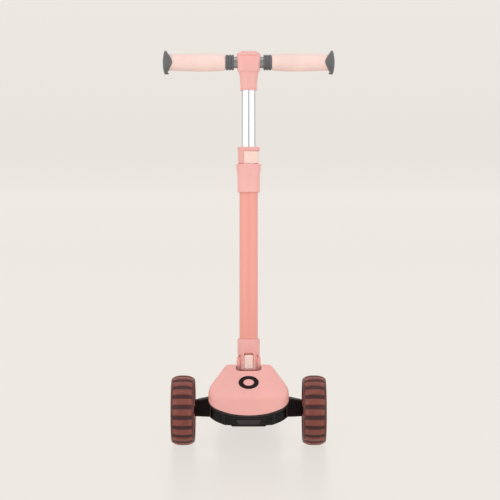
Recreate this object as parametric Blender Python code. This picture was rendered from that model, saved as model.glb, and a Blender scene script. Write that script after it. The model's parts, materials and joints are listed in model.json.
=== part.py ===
"""Three-wheeled children's kick scooter that steers by leaning.

Every separate piece of the scooter is one object. Units are metres, +Z is up and the
scooter faces -Y, so +X is the rider's left. The origin lies on the ground under the
middle of the scooter's length.
"""

from math import atan2, cos, pi, radians, sin, tan

import bmesh
import bpy
from mathutils import Matrix, Vector

MM = 0.001
GAP = 0.3 * MM

# Chassis. Y is measured from the front axle in the chassis datum's frame.
FRONT_AXLE_Y = -194 * MM
WHEELBASE = 400 * MM
FRONT_TRACK_HALF = 112 * MM
FRONT_BOSS_HALF = 14 * MM
FRONT_WHEEL_RADIUS = 60 * MM
FRONT_WHEEL_WIDTH = 40 * MM
REAR_WHEEL_RADIUS = 40 * MM
REAR_WHEEL_WIDTH = 26 * MM
AXLE_RADIUS = 4 * MM
FRONT_RIM_RADIUS = 50 * MM
REAR_RIM_RADIUS = 31 * MM
BEARING_RADIUS = 11.2 * MM
BEARING_WIDTH = 7 * MM
HUB_BOSS_RADIUS = 14.5 * MM
DECK_TOP = 62 * MM
DECK_BOTTOM = 42 * MM
DECK_HALF_WIDTH = 57 * MM
DECK_NOSE_HALF_WIDTH = 17 * MM
BRAKE_HINGE = Vector((0, 352 * MM, 67 * MM))

# Steering pivot, inclined forward.
STEER_ANGLE = radians(57)
STEER_POINT = Vector((0, 0, 66 * MM))
STEER_AXIS = Vector((0, -cos(STEER_ANGLE), sin(STEER_ANGLE)))
CARRIER_LOW = -12 * MM
CARRIER_HIGH = 14 * MM
KINGPIN_RADIUS = 5 * MM

# Stem. Heights are measured along the stem from the fold hinge.
FOLD_HINGE = Vector((0, 48 * MM, 130 * MM))
STEM_LEAN = radians(8)
SLEEVE_RADIUS = 19.3 * MM
SLEEVE_BOTTOM = 16.5 * MM
SLEEVE_TOP = 45 * MM
OUTER_TUBE_RADIUS = 16 * MM
OUTER_TUBE_BORE = 14.2 * MM
OUTER_TUBE_BOTTOM = 20.3 * MM
OUTER_TUBE_TOP = 346.7 * MM
INNER_TUBE_RADIUS = 12.7 * MM
INNER_TUBE_BOTTOM = 216 * MM
SLIDING_BORE = 13.05 * MM
INNER_TUBE_TOP = 508.3 * MM
CLAMP_BOTTOM = 347.4 * MM
CLAMP_TOP = 376.4 * MM
CLAMP_RADIUS = 18.4 * MM
LEVER_PIVOT = Vector((13 * MM, 20.5 * MM, 359 * MM))
BAR_HEIGHT = 522.3 * MM
BAR_RADIUS = 10 * MM
BAR_HALF_LENGTH = 143.6 * MM
COLLAR_INNER_END = 25.6 * MM
GRIP_INNER_END = 40.3 * MM
GRIP_OUTER_END = 132.6 * MM
BAR_END = 148.6 * MM

# Front cover: two sloping planes that meet on a ridge just ahead of the stem.
COVER_WALL = 2.5 * MM
COVER_FRONT_Y = -47.5 * MM
COVER_FRONT_HEIGHT = 93 * MM
COVER_RIDGE_Y = 32 * MM
COVER_SLOPE = radians(27)
COVER_BACK_Y = 95 * MM
COVER_BACK_HEIGHT = 68 * MM
ARCH_HALF_LENGTH = 31 * MM
ARCH_TOP = 93 * MM
# Lower edges of the cover and of the bumper as seen from the front, in (x, z) millimetres.
COVER_EDGE = ((8, 60.2), (22, 61.2), (36, 63.6), (47, 67), (57, 70.8), (63, 74), (67, 78), (90, 84))
BUMPER_EDGE = ((29, 44.2), (31, 46.8), (42, 48), (54, 51.2), (63, 54.6), (90, 66))

ROUND_SEGMENTS = 24
WHEEL_SEGMENTS = 30
SMALL_SEGMENTS = 12

COLOURS = {
    "pink_plastic": ((0.86, 0.36, 0.38, 1), 0.42, 0.0),
    "pink_tube": ((0.90, 0.42, 0.34, 1), 0.30, 0.0),
    "pale_pink_rubber": ((0.93, 0.60, 0.58, 1), 0.60, 0.0),
    "pale_pink_hub": ((0.95, 0.52, 0.48, 1), 0.40, 0.0),
    "cream_plastic": ((0.86, 0.80, 0.62, 1), 0.45, 0.0),
    "black_plastic": ((0.030, 0.030, 0.034, 1), 0.55, 0.0),
    "grey_rubber": ((0.30, 0.31, 0.33, 1), 0.65, 0.0),
    "dark_rubber": ((0.05, 0.05, 0.055, 1), 0.80, 0.0),
    "smoke_urethane": ((0.28, 0.13, 0.11, 1), 0.35, 0.0),
    "silver_tube": ((0.88, 0.88, 0.89, 1), 0.22, 1.0),
    "steel": ((0.55, 0.56, 0.58, 1), 0.30, 1.0),
}


# ---------------------------------------------------------------- helpers

def clear_scene():
    for old in list(bpy.data.objects):
        bpy.data.objects.remove(old, do_unlink=True)


def material(name):
    found = bpy.data.materials.get(name)
    if found:
        return found
    colour, roughness, metallic = COLOURS[name]
    made = bpy.data.materials.new(name)
    made.use_nodes = True
    shader = made.node_tree.nodes["Principled BSDF"]
    shader.inputs["Base Color"].default_value = colour
    shader.inputs["Roughness"].default_value = roughness
    shader.inputs["Metallic"].default_value = metallic
    return made


def datum(name, location, rotation=(0, 0, 0), parent=None):
    """An empty that carries pieces: a joint axis or the chassis frame."""
    empty = bpy.data.objects.new(name, None)
    empty.location = location
    empty.rotation_euler = rotation
    empty.parent = parent
    bpy.context.scene.collection.objects.link(empty)
    return empty


def piece(name, bm, slot, parent, location=(0, 0, 0), rotation=(0, 0, 0)):
    """Turns a bmesh into an object with outward faces, smooth where it is round."""
    bmesh.ops.recalc_face_normals(bm, faces=bm.faces)
    mesh = bpy.data.meshes.new(name)
    bm.to_mesh(mesh)
    bm.free()
    mesh.shade_smooth()
    mesh.set_sharp_from_angle(angle=radians(32))
    obj = bpy.data.objects.new(name, mesh)
    obj.parent = parent
    obj.location = location
    obj.rotation_euler = rotation
    if slot:
        mesh.materials.append(material(slot))
    bpy.context.scene.collection.objects.link(obj)
    return obj


def tool(bm, parent, location=(0, 0, 0), rotation=(0, 0, 0)):
    """A shape that only cuts or joins another piece."""
    obj = piece("tool", bm, None, parent, location, rotation)
    obj.hide_render = True
    obj.display_type = "WIRE"
    return obj


def combine(target, other, operation):
    boolean = target.modifiers.new(operation.lower(), "BOOLEAN")
    boolean.operation = operation
    boolean.solver = "EXACT"
    boolean.object = other


def cut(target, *others):
    for other in others:
        combine(target, other, "DIFFERENCE")


def join(target, *others):
    for other in others:
        combine(target, other, "UNION")


def circle_points(radius, segments, start=0.0, end=2 * pi, centre=(0, 0)):
    """Points on an arc; a full circle leaves its last point out."""
    full = abs(end - start - 2 * pi) < 1e-6
    steps = segments if full else segments + 1
    step = (end - start) / segments
    return [
        (centre[0] + radius * cos(start + i * step), centre[1] + radius * sin(start + i * step))
        for i in range(steps)
    ]


def lathe(profile, segments=ROUND_SEGMENTS):
    """Turns a closed (radius, height) outline about Z; radius 0 points become poles."""
    bm = bmesh.new()
    rings = []
    for radius, height in profile:
        if radius == 0:
            rings.append([bm.verts.new((0, 0, height))])
            continue
        rings.append([
            bm.verts.new((x, y, height)) for x, y in circle_points(radius, segments)
        ])
    for index, ring in enumerate(rings):
        following = rings[(index + 1) % len(rings)]
        if len(ring) == 1 and len(following) == 1:
            continue
        for i in range(segments):
            j = (i + 1) % segments
            if len(ring) == 1:
                bm.faces.new((ring[0], following[i], following[j]))
            elif len(following) == 1:
                bm.faces.new((ring[i], following[0], ring[j]))
            else:
                bm.faces.new((ring[i], following[i], following[j], ring[j]))
    return bm


def solid_rod(radius, low, high, chamfer=0.0, segments=SMALL_SEGMENTS):
    if chamfer == 0:
        return lathe([(0, low), (radius, low), (radius, high), (0, high)], segments)
    return lathe([
        (0, low),
        (radius - chamfer, low),
        (radius, low + chamfer),
        (radius, high - chamfer),
        (radius - chamfer, high),
        (0, high),
    ], segments)


def tube(inner, outer, low, high, segments=ROUND_SEGMENTS):
    return lathe([(inner, low), (outer, low), (outer, high), (inner, high)], segments)


def prism(outline, low, high, axis="Z", chamfer=0.0):
    """Extrudes a flat outline along an axis and chamfers its two rims.

    The outline is (x, y) along Z, (y, z) along X and (x, z) along Y.
    """
    bm = bmesh.new()
    lower = [bm.verts.new((a, b, low)) for a, b in outline]
    face = bm.faces.new(lower)
    grown = bmesh.ops.extrude_face_region(bm, geom=[face])
    top = [v for v in grown["geom"] if isinstance(v, bmesh.types.BMVert)]
    bmesh.ops.translate(bm, verts=top, vec=(0, 0, high - low))
    bmesh.ops.recalc_face_normals(bm, faces=bm.faces)
    if chamfer:
        rims = [e for e in bm.edges if abs(e.verts[0].co.z - e.verts[1].co.z) < 1e-7]
        bmesh.ops.bevel(bm, geom=rims, offset=chamfer, segments=1, profile=0.5,
                        affect="EDGES", clamp_overlap=True)
    if axis == "X":
        bmesh.ops.transform(bm, verts=bm.verts, matrix=Matrix((
            (0, 0, 1, 0), (1, 0, 0, 0), (0, 1, 0, 0), (0, 0, 0, 1))))
    if axis == "Y":
        bmesh.ops.transform(bm, verts=bm.verts, matrix=Matrix((
            (1, 0, 0, 0), (0, 0, 1, 0), (0, 1, 0, 0), (0, 0, 0, 1))))
    return bm


def block(low, high, chamfer=0.0):
    """A box between two corners with all its edges chamfered."""
    bm = bmesh.new()
    low = Vector(low)
    high = Vector(high)
    bmesh.ops.create_cube(bm, size=1)
    bmesh.ops.scale(bm, verts=bm.verts, vec=high - low)
    bmesh.ops.translate(bm, verts=bm.verts, vec=(high + low) / 2)
    if chamfer:
        bmesh.ops.bevel(bm, geom=bm.edges, offset=chamfer, segments=1, profile=0.5,
                        affect="EDGES")
    return bm


def rounded(points, radius, steps=3):
    """Replaces each corner of an outline by an arc of the given radius."""
    result = []
    count = len(points)
    for i in range(count):
        here = Vector(points[i])
        before = (Vector(points[i - 1]) - here)
        after = (Vector(points[(i + 1) % count]) - here)
        half = before.angle(after) / 2
        reach = min(radius / tan(half), before.length * 0.45, after.length * 0.45)
        bend = reach * tan(half)
        before.normalize()
        after.normalize()
        middle = here + (before + after).normalized() * (bend / sin(half))
        start = here + before * reach - middle
        end = here + after * reach - middle
        first = atan2(start.y, start.x)
        sweep = (atan2(end.y, end.x) - first + pi) % (2 * pi) - pi
        for step in range(steps + 1):
            angle = first + sweep * step / steps
            result.append((middle.x + bend * cos(angle), middle.y + bend * sin(angle)))
    return result


def mirrored(half):
    """Closes a symmetric outline from its half at positive x, listed front to back."""
    return list(half) + [(-x, y) for x, y in reversed(half)]


def coil(radius, wire, turns, length, sides=4, per_turn=8):
    """A closed helical wire along Z, its ends at height 0 and at the length."""
    bm = bmesh.new()
    steps = int(turns * per_turn)
    rise = length - 2 * wire
    rings = []
    for i in range(steps + 1):
        angle = 2 * pi * i / per_turn
        centre = Vector((radius * cos(angle), radius * sin(angle), wire + rise * i / steps))
        outward = Vector((cos(angle), sin(angle), 0))
        rings.append([
            bm.verts.new(centre + wire * (outward * cos(2 * pi * k / sides)
                                          + Vector((0, 0, sin(2 * pi * k / sides)))))
            for k in range(sides)
        ])
    for first, second in zip(rings, rings[1:]):
        for k in range(sides):
            n = (k + 1) % sides
            bm.faces.new((first[k], first[n], second[n], second[k]))
    bm.faces.new(rings[0])
    bm.faces.new(rings[-1])
    return bm


def along(axis):
    """Rotation that carries +Z onto an axis."""
    return Vector((0, 0, 1)).rotation_difference(axis).to_euler()


# ---------------------------------------------------------------- deck and its fittings

def deck_outline():
    """Plan of the deck from its nose under the steering pivot to the rear slot."""
    half = [
        (DECK_NOSE_HALF_WIDTH, -8 * MM),
        (DECK_NOSE_HALF_WIDTH, 36 * MM),
        (50 * MM, 36 * MM),
        (DECK_HALF_WIDTH, 62 * MM),
        (DECK_HALF_WIDTH, 245 * MM),
        (51 * MM, 300 * MM),
        (38 * MM, 345 * MM),
        (23 * MM, 366 * MM),
        (14.6 * MM, 366 * MM),
        (14.6 * MM, 357 * MM),
    ]
    return mirrored(half)


def fork_outline():
    """Side view of one rear fork arm, round about the rear axle."""
    end = circle_points(12 * MM, 8, radians(-80), radians(90), (WHEELBASE, REAR_WHEEL_RADIUS))
    return [(345 * MM, 44 * MM)] + end + [(345 * MM, 57 * MM)]


def steering_slab(start, end, half_width):
    """A slab square to the steering axis, between two heights along it."""
    reach = 60 * MM
    return block((-half_width, -reach, start), (half_width, reach, end))


def make_deck(chassis):
    deck = piece("deck", prism(deck_outline(), DECK_BOTTOM, DECK_TOP, chamfer=3 * MM),
                 "black_plastic", chassis)
    for side in (-1, 1):
        inner, outer = sorted((side * 15 * MM, side * 22.6 * MM))
        join(deck, tool(prism(fork_outline(), inner, outer, "X"), chassis))
        lug = circle_points(5 * MM, 8, 0, pi, (BRAKE_HINGE.y, BRAKE_HINGE.z))
        lug = [(357 * MM, 56 * MM)] + lug + [(347 * MM, 56 * MM)]
        inner, outer = sorted((side * 15 * MM, side * 20 * MM))
        join(deck, tool(prism(lug, inner, outer, "X"), chassis))
    cut(deck, tool(steering_slab(CARRIER_LOW - 0.5 * MM, 20 * MM, 19 * MM), chassis, STEER_POINT,
                   along(STEER_AXIS)))
    cut(deck, tool(solid_rod(KINGPIN_RADIUS + GAP, -25 * MM, 0), chassis, STEER_POINT,
                   along(STEER_AXIS)))
    across = (0, radians(90), 0)
    cut(deck, tool(solid_rod(AXLE_RADIUS + GAP, -30 * MM, 30 * MM), chassis,
                   (0, WHEELBASE, REAR_WHEEL_RADIUS), across))
    cut(deck, tool(solid_rod(2.3 * MM, -30 * MM, 30 * MM), chassis, BRAKE_HINGE, across))
    for side in (-1, 1):
        place = (side * 10 * MM, 56 * MM, 0)
        cut(deck, tool(solid_rod(3.3 * MM, 30 * MM, 70 * MM), chassis, place))
        cut(deck, tool(solid_rod(6 * MM, 30 * MM, 46.5 * MM), chassis, place))


def make_deck_mat(chassis):
    half = [
        (50 * MM, 104 * MM),
        (50 * MM, 245 * MM),
        (44 * MM, 298 * MM),
        (32 * MM, 336 * MM),
    ]
    outline = rounded(mirrored(half), 10 * MM)
    mat = piece("deck_mat", prism(outline, DECK_TOP + GAP, DECK_TOP + 2.3 * MM,
                                  chamfer=0.6 * MM), "dark_rubber", chassis)
    groove_floor = DECK_TOP + 1.6 * MM
    for y in range(128, 318, 30):
        reach = (34 if y < 260 else 22) * MM
        cut(mat, tool(block((-reach, y * MM, groove_floor),
                            (reach, (y + 7) * MM, DECK_TOP + 10 * MM)), chassis))


def cover_half_outline(inset):
    """Half of the cover's plan, front centre first, moved inward by the inset."""
    corner = circle_points(20 * MM - inset, 6, radians(-78), radians(-4),
                           (48.6 * MM, -26 * MM))
    front = [(12 * MM, COVER_FRONT_Y + inset), (34 * MM, COVER_FRONT_Y + 0.9 * MM + inset)]
    side = [
        (66.2 * MM - inset, -27 * MM),
        (49 * MM - inset, 5 * MM),
        (41.5 * MM - inset, 19 * MM),
        (35.5 * MM - inset, 29 * MM),
        (34 * MM - inset, 38 * MM),
        (34 * MM - inset, 60 * MM),
        (38 * MM - inset, COVER_BACK_Y - inset),
    ]
    return front + corner + side


def cover_solid(inset, bottom=20 * MM):
    """The cover's outer or inner form: a tall prism trimmed by the two slopes."""
    drop = inset * 1.05
    bm = prism(mirrored(cover_half_outline(inset)), bottom, 200 * MM)
    ridge_height = COVER_FRONT_HEIGHT + (COVER_RIDGE_Y - COVER_FRONT_Y) * tan(COVER_SLOPE)
    back_angle = atan2(ridge_height - COVER_BACK_HEIGHT, COVER_BACK_Y - COVER_RIDGE_Y)
    ridge = (0, COVER_RIDGE_Y, ridge_height - drop)
    slopes = (
        (0, -sin(COVER_SLOPE), cos(COVER_SLOPE)),
        (0, sin(back_angle), cos(back_angle)),
    )
    for normal in slopes:
        bmesh.ops.bisect_plane(bm, geom=bm.verts[:] + bm.edges[:] + bm.faces[:],
                               plane_co=ridge, plane_no=normal, clear_outer=True)
        open_edges = [e for e in bm.edges if e.is_boundary]
        bmesh.ops.holes_fill(bm, edges=open_edges, sides=0)
    bmesh.ops.recalc_face_normals(bm, faces=bm.faces)
    rims = []
    for edge in bm.edges:
        tops = [f for f in edge.link_faces if f.normal.z > 0.3]
        walls = [f for f in edge.link_faces if abs(f.normal.z) < 0.1]
        if len(tops) == 1 and len(walls) == 1:
            rims.append(edge)
    bmesh.ops.bevel(bm, geom=rims, offset=6 * MM - inset, segments=2, profile=0.5,
                    affect="EDGES", clamp_overlap=True)
    return bm


def front_edge_outline(drop, points, floor):
    """Front-view outline of what lies below a symmetric edge curve."""
    half = [(x * MM, z * MM - drop) for x, z in points]
    return [(-90 * MM, floor)] + [(-x, z) for x, z in reversed(half)] \
        + half + [(90 * MM, floor)]


def make_front_cover(chassis):
    cover = piece("front_cover", cover_solid(0), "pink_plastic", chassis)
    cut(cover, tool(cover_solid(COVER_WALL, 10 * MM), chassis))
    cut(cover, tool(prism(front_edge_outline(0, COVER_EDGE, 5 * MM), -70 * MM,
                          -ARCH_HALF_LENGTH + 1 * MM, "Y"), chassis))
    arch = rounded([
        (-ARCH_HALF_LENGTH, 0),
        (-ARCH_HALF_LENGTH, ARCH_TOP),
        (ARCH_HALF_LENGTH, ARCH_TOP),
        (ARCH_HALF_LENGTH + 4 * MM, DECK_TOP + 0.5 * MM),
        (110 * MM, DECK_TOP + 0.5 * MM),
        (110 * MM, 0),
    ], 7 * MM)
    cut(cover, tool(prism(arch, -80 * MM, 80 * MM, "X"), chassis))
    notch = rounded([
        (-22 * MM, 15 * MM),
        (22 * MM, 15 * MM),
        (22 * MM, 120 * MM),
        (-22 * MM, 120 * MM),
    ], 6 * MM)
    cut(cover, tool(prism(notch, 40 * MM, 170 * MM), chassis))


def make_cover_badge(chassis):
    """A plain raised disc with a rim on the cover's front slope."""
    y = -14 * MM
    z = COVER_FRONT_HEIGHT + (y - COVER_FRONT_Y) * tan(COVER_SLOPE)
    badge = lathe([
        (0, GAP),
        (17 * MM, GAP),
        (17 * MM, 1.2 * MM),
        (16.2 * MM, 1.8 * MM),
        (14.2 * MM, 1.8 * MM),
        (13.6 * MM, 1.0 * MM),
        (0, 1.0 * MM),
    ], ROUND_SEGMENTS)
    piece("cover_badge", badge, "black_plastic", chassis, (0, y, z), (COVER_SLOPE, 0, 0))


def bumper_solid(inset, back):
    front = [p for p in cover_half_outline(inset) if p[1] < min(back, -ARCH_HALF_LENGTH)]
    return prism(mirrored(front + [(front[-1][0], back)]), 30 * MM, 95 * MM)


def make_front_bumper(chassis):
    bumper = piece("front_bumper", bumper_solid(0.4 * MM, -ARCH_HALF_LENGTH - 1.5 * MM),
                   "black_plastic", chassis)
    cut(bumper, tool(bumper_solid(4 * MM, -20 * MM), chassis))
    above = [(x, 120 * MM if z == 5 * MM else z)
             for x, z in front_edge_outline(0.4 * MM, COVER_EDGE, 5 * MM)]
    cut(bumper, tool(prism(above, -70 * MM, -10 * MM, "Y"), chassis))
    below = front_edge_outline(0, BUMPER_EDGE, 5 * MM)
    cut(bumper, tool(prism(below, -70 * MM, -10 * MM, "Y"), chassis))
    tongue = block((-12 * MM, -45.5 * MM, 44.8 * MM), (12 * MM, -8.6 * MM, 48 * MM), 0.8 * MM)
    join(bumper, tool(tongue, chassis))
    panel = [(-23 * MM, 58 * MM), (23 * MM, 58 * MM), (19 * MM, 47 * MM), (-19 * MM, 47 * MM)]
    cut(bumper, tool(prism(rounded(panel, 1.5 * MM), -60 * MM, COVER_FRONT_Y + 1.8 * MM, "Y"),
                     chassis))


def bracket_outline():
    """Side view of the stem bracket's base and ears."""
    y, z = FOLD_HINGE.y, FOLD_HINGE.z
    ear = circle_points(16 * MM, 12, 0, pi, (y, z))
    return [
        (25.5 * MM, DECK_TOP + GAP),
        (70 * MM, DECK_TOP + GAP),
        (70 * MM, 74 * MM),
        (y + 16 * MM, 98 * MM),
    ] + ear + [
        (y - 16 * MM, 112 * MM),
        (20.5 * MM, 111 * MM),
        (20.5 * MM, 99 * MM),
        (25.5 * MM, 92 * MM),
    ]


def steering_point(along_axis, across):
    """A (y, z) point given along the steering axis and square to it, rearward."""
    a = STEER_AXIS
    return (
        STEER_POINT.y + a.y * along_axis + a.z * across,
        STEER_POINT.z + a.z * along_axis - a.y * across,
    )


def make_stem_bracket(chassis):
    bracket = piece("stem_bracket", prism(bracket_outline(), -21 * MM, 21 * MM, "X"),
                    "pink_plastic", chassis)
    low = CARRIER_HIGH + 0.5 * MM
    nose = [
        steering_point(low, -15 * MM),
        steering_point(low, 30 * MM),
        (27 * MM, 94 * MM),
        (27 * MM, 80 * MM),
        (33 * MM, 80 * MM),
        (33 * MM, 102 * MM),
        steering_point(26 * MM, 12 * MM),
        steering_point(26 * MM, -15 * MM),
    ]
    join(bracket, tool(prism(nose, -17 * MM, 17 * MM, "X"), chassis))
    cut(bracket, tool(block((-14.2 * MM, 20 * MM, 114.5 * MM), (14.2 * MM, 80 * MM, 170 * MM)),
                      chassis))
    cut(bracket, tool(solid_rod(4 * MM + GAP, -30 * MM, 30 * MM), chassis, FOLD_HINGE,
                      (0, radians(90), 0)))
    cut(bracket, tool(solid_rod(KINGPIN_RADIUS + GAP, 0, 50 * MM), chassis, STEER_POINT,
                      along(STEER_AXIS)))
    for side in (-1, 1):
        cut(bracket, tool(solid_rod(3.3 * MM, 50 * MM, 84 * MM), chassis,
                          (side * 10 * MM, 56 * MM, 0)))


def make_deck_fasteners(chassis):
    for side, name in ((1, "left"), (-1, "right")):
        bolt = lathe([
            (0, 42.8 * MM),
            (5.6 * MM, 42.8 * MM),
            (5.6 * MM, 46.2 * MM),
            (3 * MM, 46.2 * MM),
            (3 * MM, 83 * MM),
            (0, 83 * MM),
        ], 12)
        piece("bracket_bolt_" + name, bolt, "steel", chassis, (side * 10 * MM, 56 * MM, 0))
    pin = solid_rod(4 * MM, -20.7 * MM, 20.7 * MM, 0.8 * MM)
    piece("fold_hinge_pin", pin, "steel", chassis, FOLD_HINGE, (0, radians(90), 0))
    kingpin = lathe([
        (0, -24 * MM),
        (KINGPIN_RADIUS, -24 * MM),
        (KINGPIN_RADIUS, 26.4 * MM),
        (9 * MM, 26.4 * MM),
        (9 * MM, 30.5 * MM),
        (7.5 * MM, 32 * MM),
        (0, 32 * MM),
    ], SMALL_SEGMENTS)
    piece("kingpin", kingpin, "steel", chassis, STEER_POINT, along(STEER_AXIS))
    for side, name in ((1, "left"), (-1, "right")):
        spring = coil(4.6 * MM, 0.8 * MM, 4, 21.8 * MM)
        piece("steering_spring_" + name, spring, "steel", chassis,
              (side * 30 * MM, 13.7 * MM, 55 * MM), (radians(-90), 0, 0))


def hexagon(radius):
    return circle_points(radius, 6)


def make_rear_fittings(chassis):
    across = (0, radians(90), 0)
    centre = (0, WHEELBASE, REAR_WHEEL_RADIUS)
    axle = piece("rear_axle", solid_rod(AXLE_RADIUS, -27.5 * MM, 24 * MM), "steel", chassis,
                 centre, across)
    join(axle, tool(prism(hexagon(7 * MM), 22.9 * MM, 27.5 * MM), chassis, centre, across))
    nut = piece("rear_axle_nut", prism(hexagon(7 * MM), -27 * MM, -22.9 * MM), "steel", chassis,
                centre, across)
    cut(nut, tool(solid_rod(AXLE_RADIUS + GAP, -40 * MM, 0), chassis, centre, across))
    piece("brake_pin", solid_rod(2 * MM, -19.7 * MM, 19.7 * MM, 0.4 * MM, 12), "steel", chassis,
          BRAKE_HINGE, across)
    piece("brake_spring", coil(3.4 * MM, 0.7 * MM, 5, 12 * MM), "steel", chassis,
          BRAKE_HINGE - Vector((6 * MM, 0, 0)), across)


# ---------------------------------------------------------------- steering truck

def make_axle_carrier(truck):
    """The cross beam: chamfered arms, a pivot boss and a nose at each end."""
    outline = [(x, z - STEER_POINT.z) for x, z in mirrored([
        (60 * MM, 50 * MM),
        (91 * MM, 51 * MM),
        (91 * MM, 77 * MM),
        (69 * MM, 81.5 * MM),
        (45 * MM, 84 * MM),
    ])]
    beam = piece("axle_carrier", prism(outline, -13 * MM, 13 * MM, "Y", chamfer=6 * MM),
                 "black_plastic", truck)
    turn = along(STEER_AXIS)
    cut(beam, tool(steering_slab(-45 * MM, CARRIER_LOW, 22 * MM), truck, (0, 0, 0), turn))
    cut(beam, tool(steering_slab(CARRIER_HIGH, 45 * MM, 22 * MM), truck, (0, 0, 0), turn))
    join(beam, tool(solid_rod(15 * MM, CARRIER_LOW + 0.05 * MM, CARRIER_HIGH - 0.05 * MM,
                              segments=24), truck, (0, 0, 0), turn))
    cut(beam, tool(solid_rod(8.3 * MM, -40 * MM, 40 * MM, segments=SMALL_SEGMENTS), truck,
                   (0, 0, 0), turn))
    axle_drop = FRONT_WHEEL_RADIUS - STEER_POINT.z
    for side in (-1, 1):
        across = (0, side * radians(90), 0)
        nose_end = FRONT_TRACK_HALF - FRONT_BOSS_HALF - 0.4 * MM
        join(beam, tool(solid_rod(7 * MM, 84 * MM, nose_end), truck, (0, 0, axle_drop), across))
        cut(beam, tool(solid_rod(AXLE_RADIUS + GAP, 59.5 * MM, 120 * MM), truck,
                       (0, 0, axle_drop), across))


def make_truck_fittings(truck):
    bush = tube(KINGPIN_RADIUS + GAP, 8 * MM, CARRIER_LOW + 0.3 * MM, CARRIER_HIGH - 0.3 * MM,
                SMALL_SEGMENTS)
    piece("kingpin_bush", bush, "grey_rubber", truck, (0, 0, 0), along(STEER_AXIS))
    axle_drop = FRONT_WHEEL_RADIUS - STEER_POINT.z
    head = FRONT_TRACK_HALF + FRONT_BOSS_HALF + 0.5 * MM
    for side, name in ((1, "left"), (-1, "right")):
        bolt = lathe([
            (0, 60 * MM),
            (AXLE_RADIUS, 60 * MM),
            (AXLE_RADIUS, head),
            (8 * MM, head),
            (8 * MM, head + 2.6 * MM),
            (5.6 * MM, head + 4 * MM),
            (3 * MM, head + 4 * MM),
            (3 * MM, head + 1.5 * MM),
            (0, head + 1.5 * MM),
        ], SMALL_SEGMENTS)
        piece("front_axle_" + name, bolt, "steel", truck, (0, 0, axle_drop),
              (0, side * radians(90), 0))


# ---------------------------------------------------------------- wheels

def tyre_profile(outer, inner, half_width, crown):
    """Closed section of a tyre with a crowned tread and round shoulders."""
    shoulder = 5 * MM
    tread = [
        (outer - crown * (x / half_width) ** 2, x)
        for x in (-0.6 * half_width, -0.22 * half_width, 0.22 * half_width, 0.6 * half_width)
    ]
    edge = outer - crown
    return [
        (inner, -half_width + 1 * MM),
        (edge - shoulder, -half_width),
        (edge - 0.3 * shoulder, -half_width + 1.6 * MM),
    ] + tread + [
        (edge - 0.3 * shoulder, half_width - 1.6 * MM),
        (edge - shoulder, half_width),
        (inner, half_width - 1 * MM),
    ]


def hub_profile(rim, half_width, boss_half, web_half):
    """Closed section of a hub: bearing pockets, boss, web and rim."""
    bore = 7 * MM
    pocket = boss_half - BEARING_WIDTH - 0.2 * MM
    rim_inside = rim - 3.5 * MM
    half = [
        (bore, pocket),
        (BEARING_RADIUS, pocket),
        (BEARING_RADIUS, boss_half),
        (HUB_BOSS_RADIUS, boss_half),
        (HUB_BOSS_RADIUS, web_half),
        (rim_inside, web_half),
        (rim_inside, half_width),
        (rim, half_width),
    ]
    return half + [(radius, -x) for radius, x in reversed(half)]


def spoke_window(inner, outer, spread, corner):
    """A triangular opening between two spokes, pointing at the hub's centre."""
    reach = outer * cos(spread)
    half = outer * sin(spread)
    return rounded([(inner, 0), (reach, -half), (reach, half)], corner, 2)


def make_wheel(prefix, axis_datum, radius, width, rim, sizes, opening, spokes=5):
    half = width / 2
    boss_half, web_half = sizes
    turned = (0, radians(90), 0)
    tyre = tyre_profile(radius, rim + GAP, half, (radius - rim) * 0.45)
    piece(prefix + "_tyre", lathe(tyre, WHEEL_SEGMENTS), "smoke_urethane", axis_datum,
          rotation=turned)
    profile = hub_profile(rim, half - 2 * MM, boss_half, web_half)
    hub = piece(prefix + "_hub", lathe(profile, WHEEL_SEGMENTS), "pale_pink_hub", axis_datum,
                rotation=turned)
    for spoke in range(spokes):
        shape = prism(opening, -web_half - 1 * MM, web_half + 1 * MM)
        turn = Matrix.Rotation(2 * pi * spoke / spokes, 4, "Z")
        bmesh.ops.transform(shape, matrix=turn, verts=shape.verts)
        cut(hub, tool(shape, axis_datum, rotation=turned))
    for side, name in ((1, "left"), (-1, "right")):
        low, high = sorted((side * (boss_half - BEARING_WIDTH), side * boss_half))
        bearing = tube(AXLE_RADIUS + GAP, BEARING_RADIUS - GAP, low, high, 15)
        piece(prefix + "_bearing_" + name, bearing, "steel", axis_datum, rotation=turned)
    reach = boss_half - BEARING_WIDTH - GAP
    piece(prefix + "_spacer", tube(AXLE_RADIUS + GAP, 6 * MM, -reach, reach, SMALL_SEGMENTS),
          "steel", axis_datum, rotation=turned)


def make_wheels(chassis, truck):
    axle_drop = FRONT_WHEEL_RADIUS - STEER_POINT.z
    for side, name in ((1, "left"), (-1, "right")):
        spin = datum("front_" + name + "_spin", (side * FRONT_TRACK_HALF, 0, axle_drop),
                     parent=truck)
        make_wheel("front_" + name, spin, FRONT_WHEEL_RADIUS, FRONT_WHEEL_WIDTH, FRONT_RIM_RADIUS,
                   (FRONT_BOSS_HALF, 5 * MM), spoke_window(18 * MM, 42 * MM, radians(27), 3 * MM))
    spin = datum("rear_spin", (0, WHEELBASE, REAR_WHEEL_RADIUS), parent=chassis)
    make_wheel("rear", spin, REAR_WHEEL_RADIUS, REAR_WHEEL_WIDTH, REAR_RIM_RADIUS,
               (12.8 * MM, 4 * MM), circle_points(3.8 * MM, 12, centre=(20.3 * MM, 0)))


# ---------------------------------------------------------------- rear brake

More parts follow.
